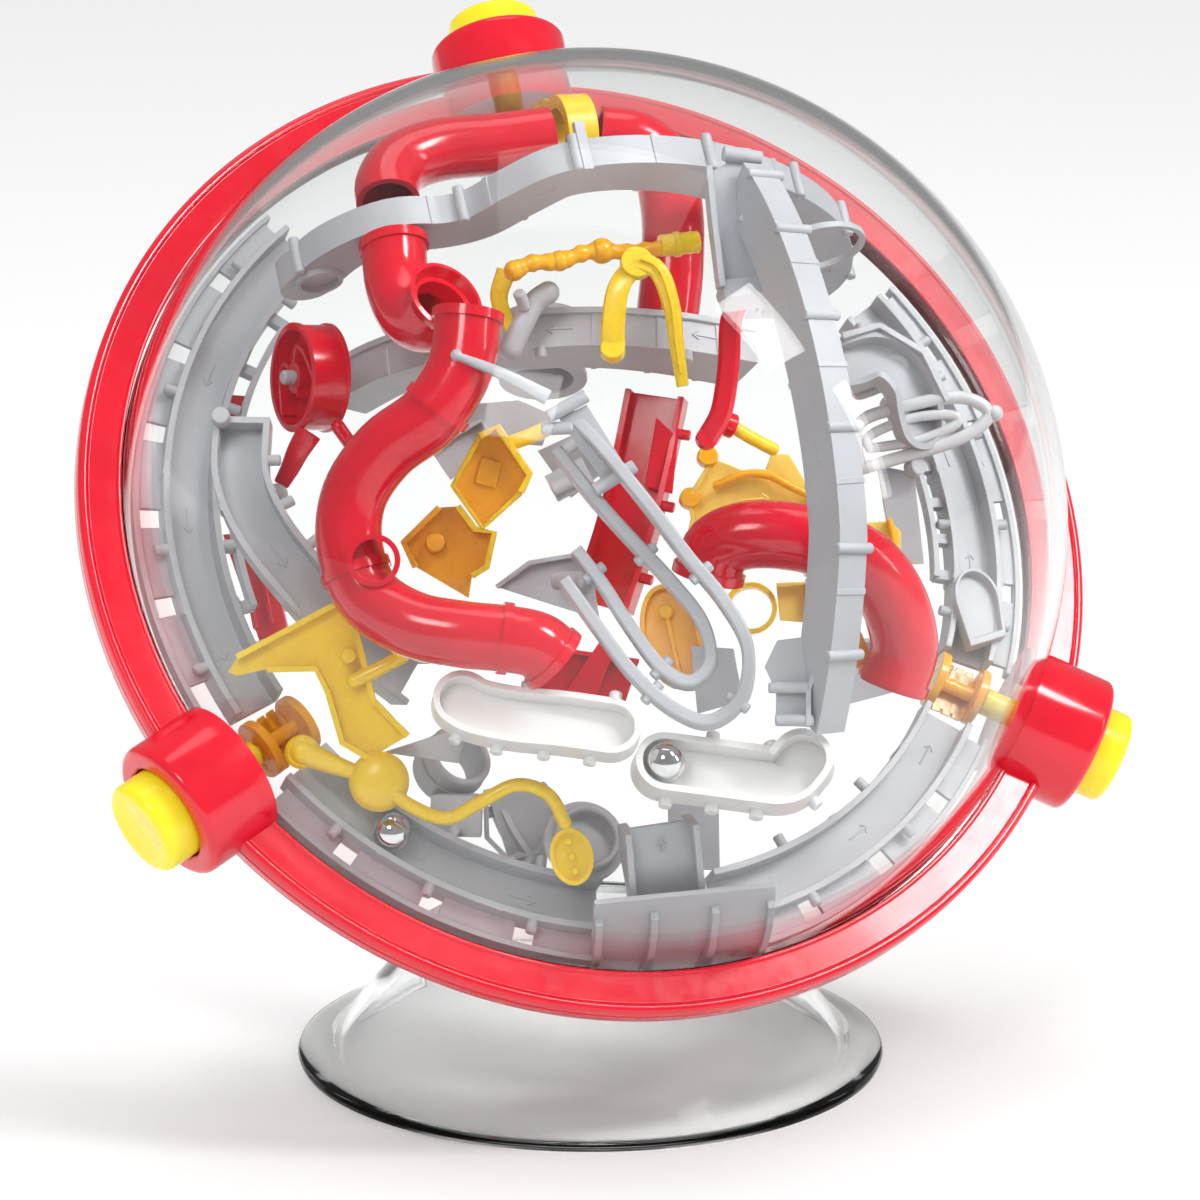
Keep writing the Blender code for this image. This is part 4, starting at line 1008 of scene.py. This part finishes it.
# ------ yellow and orange pieces
def make_spoon():
    """A long wire with a round head, a dome part way along and a flat loop at its far end."""
    near = [(-75.2, -48.9, 10.2), (-68.8, -53.0, 11), (-61.5, -58.0, 13), (-56.5, -64.0, 14)]
    far = [(-49.5, -67.8, 14.5), (-43, -66.5, 18.5), (-36, -65, 22), (-30, -68, 22.5), (-27, -73.5, 20)]
    route = smooth_route([*near, *far])
    count = len(route)
    radii = [1.4 + 1.4 * max(0, 1 - 5 * i / count) for i in range(count)]
    spoon = Shape().rod(route, radii)
    head = [(0, 1.5), (2.8, 1.5), (3.4, 0.9), (3.4, -0.9), (2.8, -1.5), (0, -1.5)]
    spoon.turn(head, seat(route[0], PLAYER, UP))
    dome = [(0, 2.9), (2.6, 2.7), (4.6, 1.9), (5.8, 0.6), (6.1, -0.6), (5.7, -1.4), (0, -1.4)]
    spoon.turn(dome, seat((-61.5, -58.0, 13), PLAYER, UP))
    tip = seat((-26, -79.5, 17), PLAYER, UP)
    outer = [(5.3 * cos(t), 3.9 * sin(t)) for t in angles(36)]
    spoon.plate(outer, 1.2, tip)
    rim = [tip @ Vector((x, y, 0.6)) for x, y in [*outer, outer[0]]]
    spoon.wall(rim, 0.9, 0.9, tip.to_3x3() @ FRONT)
    for x in (-3.0, 0.0, 3.0):
        spoon.drum(tip @ Vector((x, 0, 0.2)), tip @ Vector((x, 0, 1.7)), 0.8, 16)
    spoon.finish("yellow_spoon_wire", YELLOW, "yellow_spoon", bevel=0)


def make_yellow_plate():
    top = [(-88, -31.5, 13.5), (-86, -29, 15), (-80.5, -27.5, 18), (-65, -23, 25.5), (-64, -25.5, 25)]
    side = [(-62.5, -34, 22), (-61, -42.5, 18.5), (-55, -50.5, 17.5)]
    foot = [(-62.5, -53, 13.5), (-67.5, -49, 13.5), (-69.5, -39, 17), (-71.5, -34.5, 18.5)]
    corners = flattened([*top, *side, *foot, (-80.5, -32.5, 15.5), (-86.5, -32.5, 13.5)])
    plate = Shape().slab(corners, 1.6)
    plate.wall(corners[1:8], 2.2, 1.2)
    plate.wall(corners[8:13], 2.2, 1.2)
    plate.rod([(-64, -28, 26), (-61, -26.7, 27.7), (-56, -24.5, 30.5)], 1.5)
    plate.rod([(-65, -39, 21), (-61, -38, 22.7), (-55.5, -36.5, 25.5)], 1.5)
    plate.drum(corners[5] + Vector((-3, 0, -0.5)), corners[5] + Vector((-3.6, -0.7, 2.6)), 1.5, 18)
    plate.finish("yellow_plate_moulding", YELLOW, "yellow_plate")


def make_bumpy_rail():
    points = [(-22.5, 37, 49), (-18.5, 38, 50), (-13, 37.5, 51), (-8, 38.5, 52), (-4, 38.5, 52.5)]
    route = smooth_route([*points, (2, 37.5, 53), (8, 38, 53)])
    lumps = len(route)
    rail = Shape().rod(route, [1.5 + 0.45 * sin(9.5 * pi * i / lumps) ** 2 for i in range(lumps)])
    rail.ball((-22.5, 37, 49), 2.2).ball((-4, 38.5, 52.5), 2.7).ball((-13, 37.6, 51), 2.2)
    rail.finish("bumpy_rail_rod", ORANGE, "bumpy_rail", bevel=0)
    end = Shape().drum((8.5, 38.6, 53), (17, 38.5, 54), 2.3).drum((11.5, 38.5, 53.3), (13, 38.5, 53.5), 2.7)
    end.finish("bumpy_rail_end", YELLOW)


def make_wishbone():
    facing = Vector((-0.3, 0.1, 0.95))
    bow = [(-1.5, 32.2, 60.8), (3.2, 28.5, 62), (5, 21, 60.5), (5.3, 13, 57.5), (5.8, 5.5, 54.5)]
    right = smooth_route(bow)
    left = smooth_route([(1.0, 32.2, 60.8), (-4.2, 27.5, 58.5), (-6.2, 21, 55.5), (-6.8, 15.5, 53)])
    bone = Shape().strap(right, facing, 4.8, 2.0, 2.6).strap(left, facing, 4.6, 2.0, 5.2)
    bone.drum((-0.2, 31.2, 59.4), (-0.6, 31.0, 61.8), 3.4)
    bone.sweep(oblong(-0.35, 0.6, 0.35, 1.6), right[2:-2], facing)
    bone.drum(left[-1] - facing * 1.2, left[-1] + facing * 1.4, 2.6)
    bone.finish("wishbone_strap", YELLOW, "wishbone")
    leg = smooth_route([(-22, 40, 43.5), (-24, 35, 40.5), (-22, 28.5, 38.5)])
    Shape().strap(leg, facing, 4.6, 2.0, 3.0).finish("yellow_leg", YELLOW)


def make_hopper_and_step():
    front = [(-34.5, 4, 40.5), (-31, 5, 42.5), (-25.5, -5, 40), (-27.5, -8, 38)]
    flat = flattened([*front, (-35.5, -13, 33), (-40.5, -4, 35)])
    hopper = Shape().slab(flat, 1.6)
    hopper.block((5.5, 4.5, 1.2), seat((-33.4, -3.0, 38.0), PLAYER, (0.4, 0.9, 0.3)))
    hopper.finish("yellow_hopper_floor", ORANGE, "yellow_hopper")
    rim = Shape().wall(flat[:4], 3.6, 1.5).wall([*flat[3:], flat[0]], 2.2, 1.1)
    rim.rod([(-28, 2, 41), (-25, 2.4, 42.2), (-21.5, 3, 44)], 1.6)
    rim.finish("yellow_hopper_rim", YELLOW)

    top = [(-43, -7, 31.5), (-39.5, -7.5, 32.5), (-36.5, -12.5, 31.5), (-33, -14, 32.5), (-35, -20, 29)]
    corners = flattened([*top, (-38, -21, 27.5), (-39, -25, 25.5), (-48.5, -17, 25), (-50.5, -12, 26.5)])
    step = Shape().slab(corners, 1.6)
    step.wall(corners[7:] + corners[:1], 3.4, 1.3)
    step.drum((-44.5, -13.5, 27.5), (-45.2, -14.2, 30.5), 2.0, 20)
    step.finish("yellow_step_floor", ORANGE, "yellow_step")
    edge = Shape().wall(corners[1:6], 3.0, 1.3)
    edge.finish("yellow_step_edge", YELLOW)


def make_deck():
    top = [(19.5, 0.5, 28.5), (26, -3.5, 29), (29.5, -4, 30), (31, -1, 32), (34.5, -2, 33), (38.5, -10, 30.5)]
    low = [(38, -16, 28), (27.5, -18, 23.5), (12, -17, 18), (14.5, -10, 22), (14, -6, 23)]
    corners = flattened([*top, *low])
    deck = Shape().slab(corners, 1.6)
    deck.wall(corners[5:9], 2.4, 1.0).wall([*corners[8:], corners[0]], 2.0, 1.0)
    deck.arrow((26.5, -9.6, 28.6), (1, -0.15, 0.32))
    side = [(50.5, -15, 24), (56.5, -16, 26), (58.6, -18.5, 25.5), (58, -24, 23), (53.5, -26.5, 20.5)]
    deck.slab(side, 1.6)
    deck.slab([(28.5, -27.5, 24), (34.5, -28.5, 26), (34, -36, 22.5), (28.5, -34.5, 21.5)], 1.6)
    deck.wall([(28.5, -27.5, 24), (34.5, -28.5, 26), (34, -36, 22.5)], 2.0)
    deck.finish("yellow_deck_floor", AMBER, "yellow_deck")
    line = [(19, -5.5, 28), (24, -4.5, 30), (29, -5.5, 31.5), (34.5, -9.5, 32), (38, -11.5, 32)]
    trim = Shape().rod(smooth_route(line), 0.9)
    trim.drum((18.3, 1.0, 27.5), (17.6, 0.4, 30.5), 2.2).drum((14.3, -6, 22.5), (13.6, -6.6, 25.5), 2.2)
    trim.rod([(56, -16.5, 26.7), (56.5, -21, 25.2), (57, -26, 23.2)], 0.8)
    trim.slab([(37.5, -42.5, 30.5), (41, -42, 32), (43, -47.5, 30), (40.5, -49.5, 28.5), (38, -49, 28)], 3.0)
    trim.finish("yellow_deck_trim", ORANGE)


def make_orange_oval():
    at = seat((0, -40, 31.5), (-0.33, -0.1, 0.9), (1, 0, 0.3))
    outer = [(6.2 * cos(t), 11.0 * sin(t)) for t in angles(40)]
    oval = Shape().plate(outer, 1.6, at)
    rim = [at @ Vector((x * 0.9, y * 0.94, 0.8)) for x, y in [*outer, outer[0]]]
    oval.wall(rim, 1.6, 1.0, at.to_3x3() @ FRONT)
    oval.drum(at @ Vector((0, 5, 0.5)), at @ Vector((0, 5, 2.4)), 1.6)
    oval.block((1.0, 12.0, 1.4), at @ Matrix.Translation((0, -2.5, 1.2)))
    oval.finish("orange_oval_moulding", ORANGE, "orange_oval")
    at = seat((23.6, -30.5, 19.4), (-0.33, -0.2, 0.9), UP)
    hoop = Shape().band(5.2, 4.4, 1.8, -1.8, at).band(5.5, 4.9, 1.9, 1.2, at)
    hoop.finish("yellow_hoop_ring", YELLOW, "yellow_hoop")


def make_wire_loop():
    """Three closed loops of milky wire beside each other."""
    outer = [(52, -4, 27), (60.5, -3.5, 30.5), (72.5, -2.5, 35.5), (79, 1, 39), (73.5, 5.5, 39), (61, 6, 35)]
    inner = [(54.5, -0.5, 29.5), (64.5, -1, 33), (72, 0.5, 36.5), (71, 2.5, 37), (63, 3.5, 34.5)]
    small = [(53.5, 13, 32.5), (58.5, 17, 36), (63.5, 15.5, 37.5), (61.5, 12.5, 35.5)]
    coil = Shape()
    for points, last, radius in ((outer, (52.5, 4.5, 31), 1.4), (inner, (54.5, 2, 30.5), 1.1)):
        route = smooth_route([points[0], *points[1:], last, points[0]])
        coil.rod(route, radius, 16)
    coil.rod(smooth_route([*small, (54, 11, 32), small[0]]), 1.1, 16)
    coil.ball((80.2, 1.0, 39.4), 1.8)
    coil.finish("wire_loop_coil", MIST, "wire_loop", bevel=0)


def make_ring_screws():
    radius = (RING_OUTER + FLANGE_RADIUS) / 2
    head = RING_HALF + 0.05
    crown = [(0, head + 0.2), (0.7, head + 0.2), (0.8, head + 0.9), (1.6, head + 0.9), (2.0, head + 0.5)]
    for i, angle in enumerate((28.4, 148.4, 268.4), start=1):
        spot = Vector((radius * cos(radians(angle)), radius * sin(radians(angle)), 0))
        at = Matrix.Translation(spot) @ Matrix.Rotation(pi, 4, "X")
        Shape().turn([*crown, (2.0, head), (0.8, head), (0.8, -1.7), (0, -1.7)], at, 32).finish(
            f"ring_screw_{i}_turned", STEEL, f"ring_screw_{i}", bevel=0
        )


# ------ steel balls
def make_steel_balls():
    for node, body in (("steel_ball_1", "tray_ball"), ("steel_ball_2", "rim_ball")):
        low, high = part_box(node)
        centre = (low + high) / 2 / MM
        Shape().ball(centre, STEEL_BALL / 2, segments=48).finish(
            f"{node}_polished", STEEL, node, body=body, bevel=0, matrix=Matrix()
        )


# ------ studio
GLARE_AT = (0.535, -0.59, 1.045)  # where the lamp's mirror image lies on the ring's lower right


def panel(name, at, aim, size, power):
    """A rectangular lamp that the camera doesn't see."""
    data = bpy.data.lights.new(name, "AREA")
    data.shape = "RECTANGLE"
    data.size, data.size_y = size
    data.energy = power
    light = placed(name, data)
    light.location = at
    light.rotation_mode = "QUATERNION"
    light.rotation_quaternion = (Vector(aim) - Vector(at)).to_track_quat("-Z", "Y")
    light.visible_camera = False


def make_studio():
    """A white table and a white world, which is darker in reflections than it is to the eye."""
    made, tree, shader = new_material("studio_floor")
    put(shader, {"Base Color": (0.93, 0.93, 0.93, 1), "Roughness": 0.6})
    mesh = bmesh.new()
    bmesh.ops.create_grid(mesh, x_segments=1, y_segments=1, size=8)
    data = bpy.data.meshes.new("floor")
    mesh.to_mesh(data)
    mesh.free()
    data.materials.append(made)
    floor = placed("floor", data)
    floor.location = (0, 0, -0.0003)

    world = bpy.data.worlds.new("studio")
    bpy.context.scene.world = world
    world.use_nodes = True
    tree = world.node_tree
    light = tree.nodes["Background"]
    path = tree.nodes.new("ShaderNodeLightPath")
    level = tree.nodes.new("ShaderNodeMapRange")
    put(light, {"Color": (1, 1, 1, 1)})
    put(level, {"To Min": 0.98, "To Max": 0.30})
    tree.links.new(path.outputs["Is Glossy Ray"], level.inputs["Value"])
    tree.links.new(level.outputs["Result"], light.inputs["Strength"])

    centre = (0, 0, CENTRE_HEIGHT * MM)
    panel("key", (-0.9, -1.1, 1.3), centre, (0.5, 0.5), 5)
    panel("fill", (1.3, -0.95, 0.72), centre, (0.1, 0.7), 2)
    panel("top", (0.1, 0.2, 1.6), centre, (0.9, 0.7), 3)
    panel("glare", GLARE_AT, centre, (0.22, 0.36), 4.5)


def make_camera():
    azimuth, elevation, distance = radians(-19.6), radians(13.38), 1.045
    back = Vector((sin(azimuth) * cos(elevation), -cos(azimuth) * cos(elevation), sin(elevation)))
    data = bpy.data.cameras.new("camera")
    data.sensor_width = 36.0
    data.lens = 146.7
    data.shift_x = 0.008
    data.shift_y = -0.0629
    camera = placed("camera", data)
    camera.location = Vector((0, 0, CENTRE_HEIGHT * MM)) + back * distance
    camera.rotation_mode = "QUATERNION"
    camera.rotation_quaternion = (-back).to_track_quat("-Z", "Y")
    bpy.context.scene.camera = camera
    bpy.context.scene.view_settings.view_transform = "Standard"


make_stand()
make_shells()
make_ring()
make_hubs_and_knobs()
make_gates()
make_rim_tracks()
make_top_trough()
make_meridian()
make_middle_track()
make_lower_left()
make_start_channel()
make_right_tracks()
make_inner_links()
make_centre_loop()
make_white_trays()
make_red_tubes()
make_red_strips()
make_wheel()
make_spoon()
make_yellow_plate()
make_bumpy_rail()
make_wishbone()
make_hopper_and_step()
make_deck()
make_orange_oval()
make_wire_loop()
make_ring_screws()
make_steel_balls()
make_studio()
make_camera()
